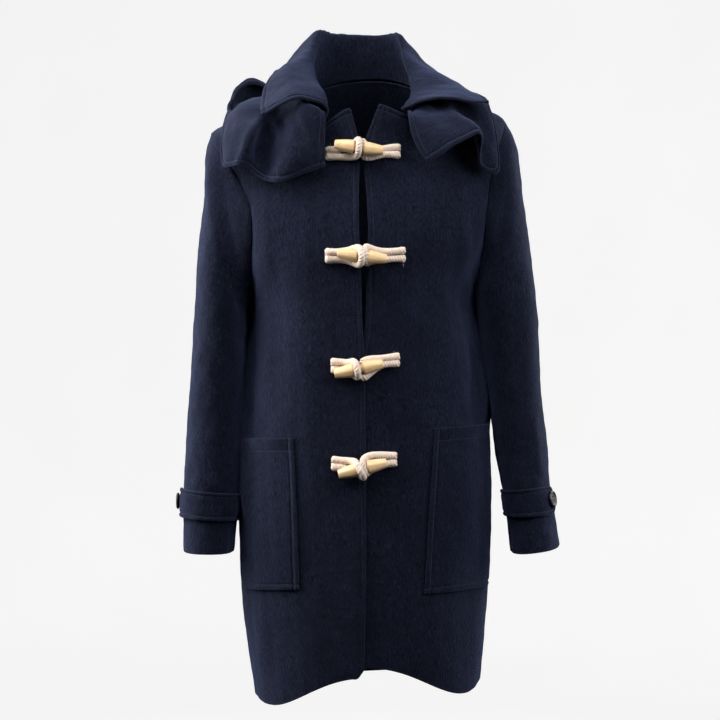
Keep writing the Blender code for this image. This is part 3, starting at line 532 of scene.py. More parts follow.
def make_wool():
    n = Nodes("wool_melton")
    fibre = n.noise(1500.0, 4.0, 0.7)
    nap = n.noise(430.0, 3.0, 0.6, n.place((1.0, 1.0, 0.45), (0.0, 0.5, 0.0)), 0.6)
    cloud = n.noise(110.0, 4.0, 0.62)
    wide = n.noise(22.0, 3.0, 0.5)
    dark, middle, light = (0.0008, 0.0011, 0.0030), (0.0030, 0.0040, 0.0106), (0.0098, 0.0122, 0.0278)
    base = n.ramp(nap, (0.38, dark), (0.50, middle), (0.64, light))
    base = n.tint(base, cloud, (0.40, 0.0), (0.66, 0.75), (0.0046, 0.0060, 0.0148))
    base = n.tint(base, fibre, (0.48, 0.0), (0.80, 0.60), (0.0150, 0.0178, 0.0360))
    base = n.tint(base, wide, (0.34, 0.40), (0.62, 0.0), (0.0020, 0.0027, 0.0068))
    lint = n.add("ShaderNodeTexVoronoi", feature="F1", Scale=150.0)
    n.join(n.place(), lint.inputs["Vector"])
    near = n.math("LESS_THAN", lint.outputs["Distance"], 0.075)
    chosen = n.add("ShaderNodeSeparateColor")
    n.join(lint.outputs["Color"], chosen.inputs["Color"])
    few = n.math("GREATER_THAN", chosen.outputs["Red"], 0.955)
    speck = n.math("MULTIPLY", n.math("MULTIPLY", near, few), 0.45)
    base = n.mix(speck, base, (0.050, 0.053, 0.064))
    # painted highlight: the cloth is made paler near every edge, in place of light on its rounded rims
    n.colour(n.mix(n.math("MULTIPLY", n.attribute("edge_highlight"), 0.45), base, (0.0120, 0.0136, 0.0240)))
    n.rough(nap, 0.98, 0.84, (0.2, 0.8))
    n.set(Specular_IOR_Level=0.07, Sheen_Weight=0.17, Sheen_Roughness=0.45, Sheen_Tint=(0.40, 0.51, 1.0, 1.0))
    n.bump(n.math("ADD", nap, n.math("MULTIPLY", fibre, 0.55)), 0.95, 0.00110)
    return n.made


def make_thread():
    n = Nodes("navy_thread")
    twist = n.noise(2600.0, 2.0, 0.5)
    n.colour(n.ramp(twist, (0.3, (0.010, 0.012, 0.025)), (0.7, (0.027, 0.032, 0.058))))
    n.rough(twist, 0.62, 0.48)
    n.bump(twist, 0.4, 0.0001)
    return n.made


def make_cotton():
    n = Nodes("cotton_cord")
    ply = n.noise(1400.0, 4.0, 0.65, n.place((1.0, 1.0, 0.45), (0.0, 0.7, 0.0)))
    patch = n.noise(160.0, 3.0, 0.6)
    speck = n.noise(700.0, 2.0, 0.5)
    dark, middle, light = (0.46, 0.350, 0.275), (0.700, 0.585, 0.490), (0.820, 0.725, 0.640)
    base = n.ramp(ply, (0.28, dark), (0.50, middle), (0.74, light))
    base = n.tint(base, patch, (0.38, 0.45), (0.66, 0.0), (0.610, 0.465, 0.400))
    base = n.tint(base, speck, (0.66, 0.0), (0.76, 0.6), (0.30, 0.205, 0.160))
    # painted shade: darker brown deep in the grooves between the plies
    n.colour(n.tint(base, n.attribute("groove"), (0.30, 0.0), (0.85, 0.85), (0.235, 0.150, 0.095)))
    n.rough(ply, 0.95, 0.80)
    n.set(Sheen_Weight=0.25, Sheen_Roughness=0.5, Sheen_Tint=(1.0, 0.95, 0.88, 1.0), Specular_IOR_Level=0.25)
    n.bump(n.math("ADD", ply, n.math("MULTIPLY", speck, 0.4)), 0.7, 0.00045)
    return n.made


def make_bamboo():
    n = Nodes("bamboo")
    grain = n.noise(900.0, 4.0, 0.6, n.place((0.045, 1.0, 1.0)))
    fleck = n.noise(2400.0, 2.0, 0.5, n.place((0.03, 1.0, 1.0)))
    broad = n.noise(70.0, 2.0, 0.5, n.place((0.25, 1.0, 1.0)))
    dark, middle, light = (0.640, 0.395, 0.185), (0.770, 0.530, 0.290), (0.850, 0.640, 0.410)
    base = n.ramp(grain, (0.30, dark), (0.50, middle), (0.72, light))
    base = n.tint(base, fleck, (0.60, 0.0), (0.72, 0.45), (0.50, 0.30, 0.115))
    base = n.tint(base, broad, (0.35, 0.40), (0.65, 0.0), (0.700, 0.490, 0.225))
    far = n.math("MULTIPLY", n.math("ABSOLUTE", n.attribute("reach")), 30.0)  # nearly 1 at the toggle's ends, whose rims take a painted shade
    # painted shade: the rims and faces of the cut ends are tinted darker brown
    n.colour(n.tint(base, far, (0.885, 0.0), (0.925, 0.30), (0.420, 0.250, 0.095)))
    n.rough(grain, 0.42, 0.30)
    n.set(Coat_Weight=0.35, Coat_Roughness=0.16, Specular_IOR_Level=0.5)
    n.bump(n.math("ADD", grain, n.math("MULTIPLY", fleck, 0.3)), 0.25, 0.00012)
    return n.made


def make_horn():
    n = Nodes("dark_horn")
    marble = n.noise(260.0, 4.0, 0.6, n.place((1.0, 0.6, 1.0)), 1.2)
    fine = n.noise(1600.0, 2.0, 0.5)
    dark, middle, light = (0.006, 0.0052, 0.0050), (0.016, 0.012, 0.010), (0.045, 0.032, 0.022)
    n.colour(n.ramp(marble, (0.35, dark), (0.60, middle), (0.78, light)))
    n.rough(fine, 0.46, 0.34)
    n.set(Coat_Weight=0.10, Coat_Roughness=0.16, Specular_IOR_Level=0.35)
    n.bump(fine, 0.15, 0.00005)
    return n.made


def make_paper():
    n = Nodes("studio_paper")
    n.colour(n.ramp(n.noise(3.0, 3.0, 0.5), (0.3, (0.36,) * 3), (0.7, (0.40,) * 3)))
    n.set(Roughness=0.95, Specular_IOR_Level=0.0)
    n.set(Emission_Color=(0.945, 0.945, 0.943, 1.0), Emission_Strength=PAPER_GLOW)
    return n.made


def make_materials():
    return {
        "wool": make_wool(), "thread": make_thread(), "cotton": make_cotton(),
        "bamboo": make_bamboo(), "horn": make_horn(), "paper": make_paper(),
    }


# ------------------------------------------------------------------ finer grids
def resample(grid, places):
    """A grid at fractional places along its first axis, on smooth curves through its rows. Places may differ
    from column to column."""
    last = len(grid) - 1
    if places.ndim == 1:
        places = np.repeat(places[:, None], grid.shape[1], axis=1)
    places = np.clip(places, 0, last)
    start = np.minimum(places.astype(int), last - 1)

    def take(index):
        index = np.repeat(np.clip(index, 0, last)[..., None], grid.shape[2], axis=2)
        return np.take_along_axis(grid, index, axis=0)

    p1, p2 = take(start), take(start + 1)
    p0 = np.where((start > 0)[..., None], take(start - 1), 2 * p1 - p2)
    p3 = np.where((start + 2 <= last)[..., None], take(start + 2), 2 * p2 - p1)
    return curve(p0, p1, p2, p3, (places - start)[..., None])


def paced(grid, near, far, spacing):
    """Lines across the first axis at set distances from its first and last line, evenly spaced between.
    Two channels are added: the distance to the first line and to the last."""
    near, far = np.asarray(near), np.asarray(far)
    dense = resample(grid, np.linspace(0, len(grid) - 1, 6 * len(grid)))
    steps = np.linalg.norm(np.diff(dense[..., :3], axis=0), axis=2)
    run = np.vstack([np.zeros(grid.shape[1]), np.cumsum(steps, axis=0)])
    total = run[-1]
    kept = near[-1] + far[-1]
    squeeze = np.minimum(1.0, 0.8 * total / kept)
    middle = max(2, round((np.median(total) - kept) / spacing))
    share = np.linspace(0, 1, middle + 1)[1:-1, None]
    low, high = near[-1] * squeeze, total - far[-1] * squeeze
    ends = near[:, None] * squeeze, total - far[::-1, None] * squeeze
    targets = np.vstack([ends[0], low + (high - low) * share, ends[1]])
    places = np.stack([np.interp(t, r, np.arange(len(dense))) for t, r in zip(targets.T, run.T)], axis=1)
    return np.concatenate([resample(dense, places), targets[..., None], (total - targets)[..., None]], axis=2)


def cross_grid(grid, first, last, start, end, spacing_rows, spacing_columns):
    """A grid paced both ways. Channels: x, y, z, then distances to the first and last row and column."""
    rows = paced(grid, first, last, spacing_rows)
    both = paced(rows.transpose(1, 0, 2), start, end, spacing_columns)
    return both.transpose(1, 0, 2)


def normals_of(points, away_from):
    """Unit normals of a grid of points, on the side away from a place or line of places."""
    normal = np.cross(np.gradient(points, axis=1), np.gradient(points, axis=0))
    normal /= np.maximum(np.linalg.norm(normal, axis=2, keepdims=True), 1e-12)
    outward = (normal * (points - away_from)).sum()
    return normal if outward > 0 else -normal


RIM = (0.0, 0.0003, 0.0009, 0.0018)  # lines that round a cut or turned edge
SEAM_LINES = RIM + (0.0032, 0.0052)
STITCH_AT = 0.0068  # topstitching lies this far inside an edge
STITCH_LINES = RIM + (0.0034, 0.0050, 0.0060, STITCH_AT, 0.0076, 0.0088, 0.0110)


def smooth(share):
    share = np.clip(share, 0.0, 1.0)
    return share * share * (3 - 2 * share)


def waves(points, size, seed):
    """Smooth uneven noise from sums of sines, about -1 to 1, with features of about a size in metres."""
    rng = np.random.default_rng(seed)
    total = np.zeros(points.shape[:-1])
    for _ in range(7):
        way = rng.normal(size=3)
        way /= np.linalg.norm(way)
        pitch = size * rng.uniform(0.7, 1.6)
        total += np.sin(points @ way * (2 * math.pi / pitch) + rng.uniform(0, 2 * math.pi))
    return total / 2.6


def creases_of(points, table):
    """The rise of the listed creases. A depth less than 0 is a valley."""
    rise = np.zeros(points.shape[:-1])
    flat = points[..., [0, 2]]
    for face, creases in table.items():
        to_back = -1 if face == "front" else 1
        on_face = smooth(0.5 + to_back * points[..., 1] / 0.03)
        for route, half_width, depth in creases:
            nearest = np.full(rise.shape, 1e9)
            share = np.zeros(rise.shape)
            route = np.array(route) / 1000
            count = len(route) - 1
            for index, (a, b) in enumerate(zip(route, route[1:])):
                span = b - a
                t = np.clip(((flat - a) @ span) / (span @ span), 0.0, 1.0)
                gap = np.linalg.norm(flat - a - t[..., None] * span, axis=-1)
                closer = gap < nearest
                nearest = np.where(closer, gap, nearest)
                share = np.where(closer, (index + t) / count, share)
            fade = smooth(share / 0.3) * smooth((1 - share) / 0.3)
            rise += depth / 1000 * np.exp(-((nearest / half_width * 1000) ** 2)) * fade * on_face
    return rise


# ------------------------------------------------------------------ cloth pieces
def link_mesh(name, points, faces, material_name):
    mesh = bpy.data.meshes.new(name)
    mesh.from_pydata([tuple(point) for point in points], [], faces)
    mesh.materials.append(materials[material_name])
    mesh.shade_smooth()
    made = bpy.data.objects.new(name, mesh)
    scene.collection.objects.link(made)
    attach(made, "root")
    return made


def add_values(made, name, values):
    """Gives each point of a mesh a value that its material reads by name."""
    made.data.attributes.new(name, "FLOAT", "POINT").data.foreach_set("value", values.astype(np.float32))


def ring_faces(rings, sides, first=0):
    """Faces of a tube made of rings of points, closed at both ends."""
    faces = []
    for row in range(rings - 1):
        for k in range(sides):
            a, b = first + row * sides + k, first + row * sides + (k + 1) % sides
            faces.append((a, b, b + sides, a + sides))
    faces.append(tuple(first + k for k in range(sides - 1, -1, -1)))
    faces.append(tuple(first + (rings - 1) * sides + k for k in range(sides)))
    return faces


def quads(rows, columns, first, turn):
    r, c = np.meshgrid(np.arange(rows - 1), np.arange(columns - 1), indexing="ij")
    a = first + r * columns + c
    faces = np.stack([a, a + 1, a + columns + 1, a + columns], axis=-1).reshape(-1, 4)
    return faces[:, ::-1] if turn else faces


def rim_of(rows, columns):
    """Indices round the edge of a grid, in order."""
    top = list(range(columns))
    right = [r * columns + columns - 1 for r in range(1, rows)]
    bottom = [(rows - 1) * columns + c for c in range(columns - 2, -1, -1)]
    left = [r * columns for r in range(rows - 2, 0, -1)]
    return np.array(top + right + bottom + left)


SEAM_CLOSE, SEAM_CLOSE_WIDTH = 0.0011, 0.0035  # how far a seam's edge moves out, and how far in it is felt
SEAM_SINK, SEAM_SINK_WIDTH = 0.0011, 0.0022  # how far it turns in
EDGE_SHARE = 0.42  # share of the thickness left at a turned edge
BORDER_FULL, GROOVE_DEPTH, GROOVE_WIDTH = 0.00050, 0.00105, 0.0012  # on both sides of a topstitched line
EDGE_HIGHLIGHT_WIDTH = 0.0016  # how far in from an edge the painted highlight reaches, making the cloth paler


def closed_seams(grid, edges):
    """The grid's points, with its seam edges moved out over the gap that the solids keep."""
    points = grid[..., :3]
    moved = points.copy()
    last = (points.shape[0] - 1, points.shape[1] - 1)
    ends = ((0, 0, 5), (0, last[0], last[0] - 5), (1, 0, 5), (1, last[1], last[1] - 5))
    for kind, (axis, edge, inside), distance in zip(edges, ends, np.moveaxis(grid[..., 3:], 2, 0)):
        if kind == "seam":
            way = np.take(points, [edge], axis=axis) - np.take(points, [inside], axis=axis)
            way = way / np.maximum(np.linalg.norm(way, axis=2, keepdims=True), 1e-9)
            moved += way * (SEAM_CLOSE * np.exp(-((distance / SEAM_CLOSE_WIDTH) ** 2)))[..., None]
    return moved


def cloth(name, grid, thickness, away_from, lift, edges, stitch_at=STITCH_AT):
    """A closed cloth wall round a grid. Edges say how the first and last row and column end: "rim" is
    rounded, "stitched" also has a topstitched groove and a fuller border, "seam" turns in towards its
    neighbour. Gives the object and its outer layer: the layer's points and normals, and the grid."""
    rows, columns = grid.shape[:2]
    out = normals_of(grid[..., :3], away_from)
    points = closed_seams(grid, edges)
    half = np.full((rows, columns), thickness / 2)
    for kind, distance in zip(edges, np.moveaxis(grid[..., 3:], 2, 0)):
        round_off = np.clip(distance / RIM[-1], 0.0, 1.0)
        half = half * (EDGE_SHARE + (1 - EDGE_SHARE) * np.sqrt(1 - (1 - round_off) ** 2))
        if kind == "seam":
            lift = lift - SEAM_SINK * np.exp(-((distance / SEAM_SINK_WIDTH) ** 2))
        if kind == "stitched":
            half = half + BORDER_FULL * np.exp(-(((distance - stitch_at * 0.53) / (stitch_at * 0.32)) ** 2))
            half = half - GROOVE_DEPTH * np.exp(-(((distance - stitch_at) / GROOVE_WIDTH) ** 2))
    outer = points + out * (lift + half)[..., None]
    inner = points + out * (lift - half)[..., None]
    total = rows * columns
    turn = (np.cross(points[0, 1] - points[0, 0], points[1, 0] - points[0, 0]) @ out[0, 0]) < 0
    rim = rim_of(rows, columns)
    after = np.roll(rim, -1)
    band = np.stack([rim, rim + total, after + total, after], axis=1)
    band = band[:, ::-1] if turn else band
    faces = [quads(rows, columns, 0, turn), quads(rows, columns, total, not turn), band]
    both = np.concatenate([outer.reshape(-1, 3), inner.reshape(-1, 3)])
    made = link_mesh(name, both, np.concatenate(faces).tolist(), "wool")
    # painted highlight: 1 at every edge, fading out within a couple of millimetres
    edge_highlight_share = np.exp(-((grid[..., 3:].min(axis=2) / EDGE_HIGHLIGHT_WIDTH) ** 2)).reshape(-1)
    add_values(made, "edge_highlight", np.concatenate([edge_highlight_share, edge_highlight_share]))
    return made, (outer, out, grid)


def stitch_run(lines, pitch=0.0037, length=0.0027, radius=0.00034, sink=0.00005):
    """Topstitches along lines of (points, normals): one short thread capsule after another."""
    ring = np.linspace(0, 2 * math.pi, 7)[:-1]
    stations = ((-0.5, 0.35), (-0.36, 0.9), (0.0, 1.0), (0.36, 0.9), (0.5, 0.35))
    points, faces = [], []
    for route, normal in lines:
        steps = np.linalg.norm(np.diff(route, axis=0), axis=1)
        run = np.concatenate([[0.0], np.cumsum(steps)])
        count = int(run[-1] / pitch)
        for number in range(count):
            at = (number + 0.5) * pitch
            middle, ahead, out = [
                np.array([np.interp(at + step, run, line[:, k]) for k in range(3)])
                for line, step in ((route, 0.0), (route, pitch / 2), (normal, 0.0))
            ]
            way = ahead - middle
            way /= max(np.linalg.norm(way), 1e-9)
            aside = np.cross(way, out)
            first = len(points)
            for place, size in stations:
                dip = -sink - radius * 1.5 * (abs(place) * 2) ** 4
                centre = middle + way * place * length + out * dip
                for angle in ring:
                    points.append(centre + (aside * math.cos(angle) + out * math.sin(angle)) * radius * size)
            faces += ring_faces(len(stations), len(ring), first)
    return points, faces


def stitches(name, lines):
    points, faces = stitch_run(lines)
    return link_mesh(name, points, faces, "thread")


FIRST_ROW, LAST_ROW, FIRST_COLUMN, LAST_COLUMN = 3, 4, 5, 6  # the channels that hold distances to an edge


def line_at(layer, edge, distance, start=0, end=None):
    """The points and normals of a layer's line at a distance from one of its edges."""
    outer, out, grid = layer
    if edge in (FIRST_COLUMN, LAST_COLUMN):
        outer, out, grid = (values.transpose(1, 0, 2) for values in layer)
    index = int(np.abs(np.median(grid[..., edge], axis=1) - distance).argmin())
    return outer[index, start:end], out[index, start:end]


# Creases by the face they lie on: the route of each in (x, z), its half width and its depth, in millimetres.
BODY_CREASES = {
    "front": (
        (((-140, -105), (-144.5, -210), (-140.5, -330), (-143, -430)), 8, -4.5),
        (((-118, -120), (-124, -240), (-120, -350), (-124, -430)), 16, 4.2),
        (((-80, -120), (-78, -260), (-74, -360), (-84, -520)), 34, 6.6),
        (((122, -155), (128, -225), (137, -300)), 11, 3),
        (((60, -290), (88, -250)), 14, -3),
        (((-129, -640), (-124, -760)), 12, 2.6),
        (((-75, -300), (-60, -420), (-62, -560)), 22, 1.8),
        (((45, -520), (60, -640), (64, -760)), 24, 2),
        (((-35, -560), (-40, -760)), 20, -1.6),
        (((125, -480), (132, -600)), 16, 2),
    ),
    "back": (
        (((-60, -260), (-52, -420), (-60, -700)), 26, 4),
        (((48, -300), (60, -500), (52, -760)), 24, -3.6),
        (((-12, -460), (4, -760)), 22, 3.4),
        (((100, -350), (90, -560)), 18, 3),
        (((-110, -330), (-98, -520)), 18, -2.8),
    ),
}


SIDE_FULLNESS, SLEEVE_FULLNESS = 0.0074, 0.0032  # the body and each sleeve press together this much more
PRESSED_FROM = -0.212  # they press from this height
PRESSED_TO = {"right": -0.560, "left": -0.440}  # down to these


def beside_sleeve(points):
    """How much the cloth here presses on its neighbour: the body's side on the sleeve's inner side."""
    low = np.where(points[..., 0] < 0, PRESSED_TO["right"], PRESSED_TO["left"])
    return smooth((points[..., 2] - low) / 0.05) * smooth((PRESSED_FROM - points[..., 2]) / 0.04)


def body_rise(points):
    rise = creases_of(points, BODY_CREASES)
    rise += 0.0011 * waves(points * np.array((1, 1, 0.5)), 0.085, 3)
    rise += 0.00032 * waves(points, 0.022, 5)
    at_side = smooth((np.abs(points[..., 0]) - 0.134) / 0.016)
    return rise + SIDE_FULLNESS * at_side * beside_sleeve(points)


def body_axis(points):
    return points * np.array((0.0, 0.0, 1.0))


def body_cloth(name, grid, edges, extra_rise=0.0):
    points = grid[..., :3]
    return cloth(name, grid, CLOTH, body_axis(points), body_rise(points) + extra_rise, edges)


def make_fronts():
    levels = body_levels(22, 26, 14)
    for side in ("right", "left"):
        base = front_grid(side, 26, levels)
        grid = cross_grid(base, RIM, STITCH_LINES, STITCH_LINES, SEAM_LINES, 0.0042, 0.0036)
        edges = ("rim", "stitched", "stitched", "seam")
        made, layer = body_cloth(f"wool_front_{side}", grid, edges)
        lines = [line_at(layer, FIRST_COLUMN, STITCH_AT), line_at(layer, LAST_ROW, STITCH_AT)]
        thread = stitches(f"stitching_front_{side}", lines)
        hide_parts(f"front_{side}")


def make_back():
    base = back_grid(36, body_levels(18, 22, 10))
    grid = cross_grid(base, RIM, SEAM_LINES, SEAM_LINES, SEAM_LINES, 0.0052, 0.0052)
    made, _ = body_cloth("wool_back", grid, ("rim", "seam", "seam", "seam"))
    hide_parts("back")


SLEEVE_CREASES = {
    "front": (
        (((-186, -85), (-174, -143), (-162, -206), (-150, -275)), 8, -2.2),
        (((-197, -130), (-192, -220), (-186, -330)), 13, 2.2),
        (((-214, -488), (-196, -500), (-176, -502)), 10, 3.4),
        (((-205, -405), (-190, -440)), 14, -1.8),
        (((-212, -330), (-186, -372)), 10, 1.4),
        (((188, -105), (179, -160), (169, -200), (150, -262)), 8, -2.6),
        (((203, -200), (212, -300), (214, -400)), 13, 1.8),
        (((213, -400), (217, -455), (223, -510)), 7, 2.6),
        (((186, -440), (198, -480)), 12, -1.8),
        (((183, -497), (205, -503), (226, -494)), 9, 2.4),
    ),
    "back": (
        (((-205, -250), (-176, -330)), 14, -3),
        (((-214, -330), (-186, -380)), 12, 2.6),
        (((214, -270), (186, -340)), 14, -3),
        (((222, -360), (194, -410)), 12, 2.8),
        (((196, -130), (206, -240)), 14, 2.2),
        (((-192, -120), (-204, -230)), 14, 2),
    ),
}


def sleeve_rise(points):
    rise = creases_of(points, SLEEVE_CREASES)
    rise += 0.0010 * waves(points * np.array((1, 1, 0.6)), 0.070, 11)
    rise += 0.00030 * waves(points, 0.020, 13)
    inner_side = smooth((0.176 - np.abs(points[..., 0])) / 0.020)
    return rise + SLEEVE_FULLNESS * inner_side * beside_sleeve(points)


def sleeve_axis(side, points):
    rows = np.array(SLEEVES[side])
    z = (rows[:, 1] + rows[:, 3]) / 2
    x, y = (rows[:, 0] + rows[:, 2]) / 2, (rows[:, 4] + rows[:, 5]) / 2
    at = points[..., 2]
    return np.stack([np.interp(at, z[::-1], x[::-1]), np.interp(at, z[::-1], y[::-1]), at], axis=-1)


def sleeve_cloth(name, side, grid, thickness, edges, stitch_at=STITCH_AT):
    points = grid[..., :3]
    return cloth(name, grid, thickness, sleeve_axis(side, points), sleeve_rise(points), edges, stitch_at)


def make_sleeves():
    places = np.linspace(0, 9, 34)
    for side in ("right", "left"):
        for name, start, end, columns, flat, area in (
            ("upper", SLEEVE_SEAM_BACK - 360, SLEEVE_SEAM_FRONT, 28, (0.29, 0.56), UPPER_SLEEVE_AREA),
            ("under", SLEEVE_SEAM_FRONT, SLEEVE_SEAM_BACK, 16, (0.175, 0.42), UNDER_SLEEVE_AREA),
        ):
            base = sleeve_grid(side, np.linspace(start + SEAM_SPARE, end - SEAM_SPARE, columns), places)
            grid = cross_grid(base, SEAM_LINES, RIM, SEAM_LINES, SEAM_LINES, 0.0042, 0.0040)
            edges = ("seam", "rim", "seam", "seam")
            made, _ = sleeve_cloth(f"wool_{name}_sleeve_{side}", side, grid, CLOTH, edges)
            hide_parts(f"{name}_sleeve_{side}")


def tab_point(side, along_share, across_share, out):
    """A point of a cuff strap: along from the inner seam to the rounded end, across from top to bottom."""
    start, end = TAB_ANGLES[side]
    angle = start + (end - start) * along_share
    place = TAB_LEVEL[side]
    base = sleeve_point(side, angle, place)
    down = sleeve_point(side, angle, place + 0.1) - base
    reach = (across_share - 0.5) * TAB_WIDTH - TAB_RISE[side] * (1 - along_share)
    place += 0.1 * reach / np.linalg.norm(down)
    return sleeve_point(side, angle, place) + sleeve_normal(side, angle, place) * out


TAB_STITCH = 0.0052
TAB_LINES = RIM + (0.0030, 0.0043, TAB_STITCH, 0.0061, 0.0078)


def make_tabs():
    out_by = CLOTH / 2 + GAP + TAB_CLOTH / 2 + TAB_SPARE
    straight = 1 - TAB_END
    rounded = 1 - TAB_END * (1 - np.linspace(0, 1, 14)) ** 1.6
    shares = np.concatenate([np.linspace(0, straight, 26)[:-1], rounded])
    for side in ("right", "left"):
        base = []
        for across in np.linspace(0, 1, 9):
            line = []
            for share in shares:
                rest = max(0.0, (share - straight) / TAB_END)
                narrow = math.sqrt(1 - rest * rest * 0.965)
                line.append(tab_point(side, share, 0.5 + (across - 0.5) * narrow, out_by))
            base.append(line)
        grid = cross_grid(np.array(base), TAB_LINES, TAB_LINES, RIM, RIM, 0.0040, 0.0030)
        edges = ("stitched", "stitched", "rim", "rim")
        made, layer = sleeve_cloth(f"wool_cuff_tab_{side}", side, grid, TAB_CLOTH, edges, TAB_STITCH)
        lines = [line_at(layer, edge, TAB_STITCH, 0, -8) for edge in (FIRST_ROW, LAST_ROW)]
        thread = stitches(f"stitching_tab_{side}", lines)
        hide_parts(f"cuff_tab_{side}")
        make_button(side, out_by)


def make_button(side, out_by):
    at = 1 - TAB_END * BUTTON_AT
    place = tab_point(side, at, 0.5, out_by + TAB_CLOTH / 2 + GAP + BUTTON_SPARE)
    ahead = tab_point(side, at + TAB_END / 2, 0.5, out_by) - tab_point(side, at - TAB_END / 2, 0.5, out_by)
    down = tab_point(side, at, 0.8, out_by) - tab_point(side, at, 0.2, out_by)
    normal = np.cross(ahead, down)
    outward = 1 if (normal[0] > 0) == (side == "left") else -1
    normal = normal / np.linalg.norm(normal) * outward
    x = ahead / np.linalg.norm(ahead)
    y = np.cross(normal, x)
    place = place + normal * float(sleeve_rise(place[None, None])[0, 0])
    stations = np.concatenate([np.linspace(0, 0.62, 26), np.linspace(0.64, 0.99, 16)])
    face = np.interp(stations, *np.array(BUTTON_FACE).T)
    face = np.convolve(np.pad(face, 2, mode="edge"), np.ones(5) / 5, mode="valid")
    outline = [*zip(stations, face), *BUTTON_BACK]
    turns = 72
    points = []
    for share, rise in outline:
        for k in range(turns):
            angle = 2 * math.pi * k / turns
            u, v = share * BUTTON_RADIUS * math.cos(angle), share * BUTTON_RADIUS * math.sin(angle)
            h = rise * BUTTON_THICK
            if rise > 0.3 and share < 0.6:
                gap = math.hypot(abs(u) - HOLE_OFFSET, abs(v) - HOLE_OFFSET)  # to the nearest hole's middle
                h -= HOLE_DEPTH * (1 - smooth((gap - HOLE_RADIUS * 0.75) / (HOLE_RADIUS * 0.5)))
            points.append(place + x * u + y * v + normal * h)
    faces = [face[::-1] for face in ring_faces(len(outline), turns)]
    made = link_mesh(f"horn_button_{side}", points, faces, "horn")
    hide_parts(f"cuff_button_{side}")
    middle = place + normal * BUTTON_THICK * 0.66
    lines = []
    for a in (-1, 1):
        ends = [middle + x * a * HOLE_OFFSET + y * b * HOLE_OFFSET for b in (-1, 1)]
        lines.append((np.array(ends), np.array([normal, normal])))
    points, faces = stitch_run(lines, 2 * HOLE_OFFSET * 0.999, 2 * HOLE_OFFSET, 0.00042, 0.0)
    link_mesh(f"button_thread_{side}", points, faces, "thread")


POCKET_HEM, POCKET_HEM_DEPTH = 0.0160, 0.0006
POCKET_GAPE = 0.0052  # the mouth stands out by this at its middle
POCKET_TOP_LINES = RIM + (0.0034, 0.0060, 0.0090, 0.0125, 0.0150, POCKET_HEM, 0.0170, 0.0190, 0.0220)


def pocket_base(side, columns, rows):
    spec = dict(zip(POCKET_COLUMNS, POCKETS[side]))
    grid = []
    for down in np.linspace(1.0, 0.0, rows):
        z = spec["top_z"] + (spec["bottom_z"] - spec["top_z"]) * down
        x = spec["front_top_x"] + (spec["front_bottom_x"] - spec["front_top_x"]) * down
        inner, level = place_at(x, z)
        angles = inner + (spec["side_angle"] - inner) * np.linspace(0, 1, columns)
        grid.append([front_point(side, angle, level, CLOTH + GAP + POCKET_SPARE) for angle in angles])
    return np.array(grid)


def make_pockets():
    for side in ("right", "left"):
        base = pocket_base(side, 16, 16)
        grid = cross_grid(base, STITCH_LINES, POCKET_TOP_LINES, STITCH_LINES, RIM, 0.0034, 0.0034)
        to_top, to_front, to_side = (grid[..., edge] for edge in (LAST_ROW, FIRST_COLUMN, LAST_COLUMN))
        gape = np.clip(1 - to_top / 0.032, 0, 1) ** 2 * smooth(to_front / 0.025) * smooth(to_side / 0.03)
        hem = np.exp(-(((to_top - POCKET_HEM) / 0.0010) ** 2))
        rise = 0.0002 + POCKET_GAPE * gape - POCKET_HEM_DEPTH * hem
        made, layer = body_cloth(f"wool_pocket_{side}", grid, ("stitched", "rim", "stitched", "rim"), rise)
        lines = [
            line_at(layer, FIRST_ROW, STITCH_AT, 7), line_at(layer, FIRST_COLUMN, STITCH_AT, 7),
            line_at(layer, LAST_ROW, POCKET_HEM, 7),
        ]
        thread = stitches(f"stitching_pocket_{side}", lines)
        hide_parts(f"patch_pocket_{side}")


def trim_rise(points, seed, size=0.045, depth=0.0009):
    return depth * waves(points, size, seed) + 0.00025 * waves(points, 0.016, seed + 1)


NECK_INSIDE = np.array((0.0, 0.0, -0.06))


def make_collar():
    base = rib_grid(COLLAR, np.linspace(0, len(COLLAR) - 1, 71), np.linspace(0, 1, 31))
    grid = cross_grid(base, RIM, STITCH_LINES, STITCH_LINES, STITCH_LINES, 0.0030, 0.0034)
    points = grid[..., :3]
    edges = ("rim", "stitched", "stitched", "stitched")
    made, layer = cloth("wool_collar", grid, DOUBLE_CLOTH, NECK_INSIDE, trim_rise(points, 21), edges)
    lines = [
        line_at(layer, LAST_ROW, STITCH_AT, 7, -7), line_at(layer, FIRST_COLUMN, STITCH_AT, 10, -7),
        line_at(layer, LAST_COLUMN, STITCH_AT, 10, -7),
    ]
    thread = stitches("stitching_collar", lines)
    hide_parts("collar")


ROLL_WIDTH, ROLL_REACH, ROLL_RISE, ROLL_DROP, ROLL_FORWARD = 0.010, 0.045, 0.0080, 0.0175, 0.0055
HOOD_CREASES = {
    "front": (
        (((-122, -10), (-127, -43), (-140, -72), (-150.5, -100), (-160, -135)), 5.5, 5.2),
        (((-110, -10), (-116, -45), (-124, -78), (-134, -115)), 10, -10.5),
        (((-97, -12), (-88, -36), (-77, -62), (-66, -92)), 5, -3),
        (((-88, -12), (-78, -34), (-67, -60), (-56, -90)), 6, 2.6),
        (((-160, -45), (-166, -78), (-165, -108)), 10, 1.8),
        (((100, -18), (108, -30), (121, -47), (140, -62), (150, -72)), 6.5, 3.2),
        (((118, -20), (129, -34), (146, -54), (158, -80)), 8, -4.6),
        (((78, -40), (92, -62), (100, -88)), 8, 2),
    ),
    "back": (
        (((-52, -30), (-60, -110), (-50, -190)), 16, 4.2),
        (((22, -30), (36, -100), (30, -180)), 14, -4),
        (((85, -40), (80, -100), (88, -160)), 12, 3.4),
        (((-100, -50), (-96, -110)), 12, -3),
    ),
}


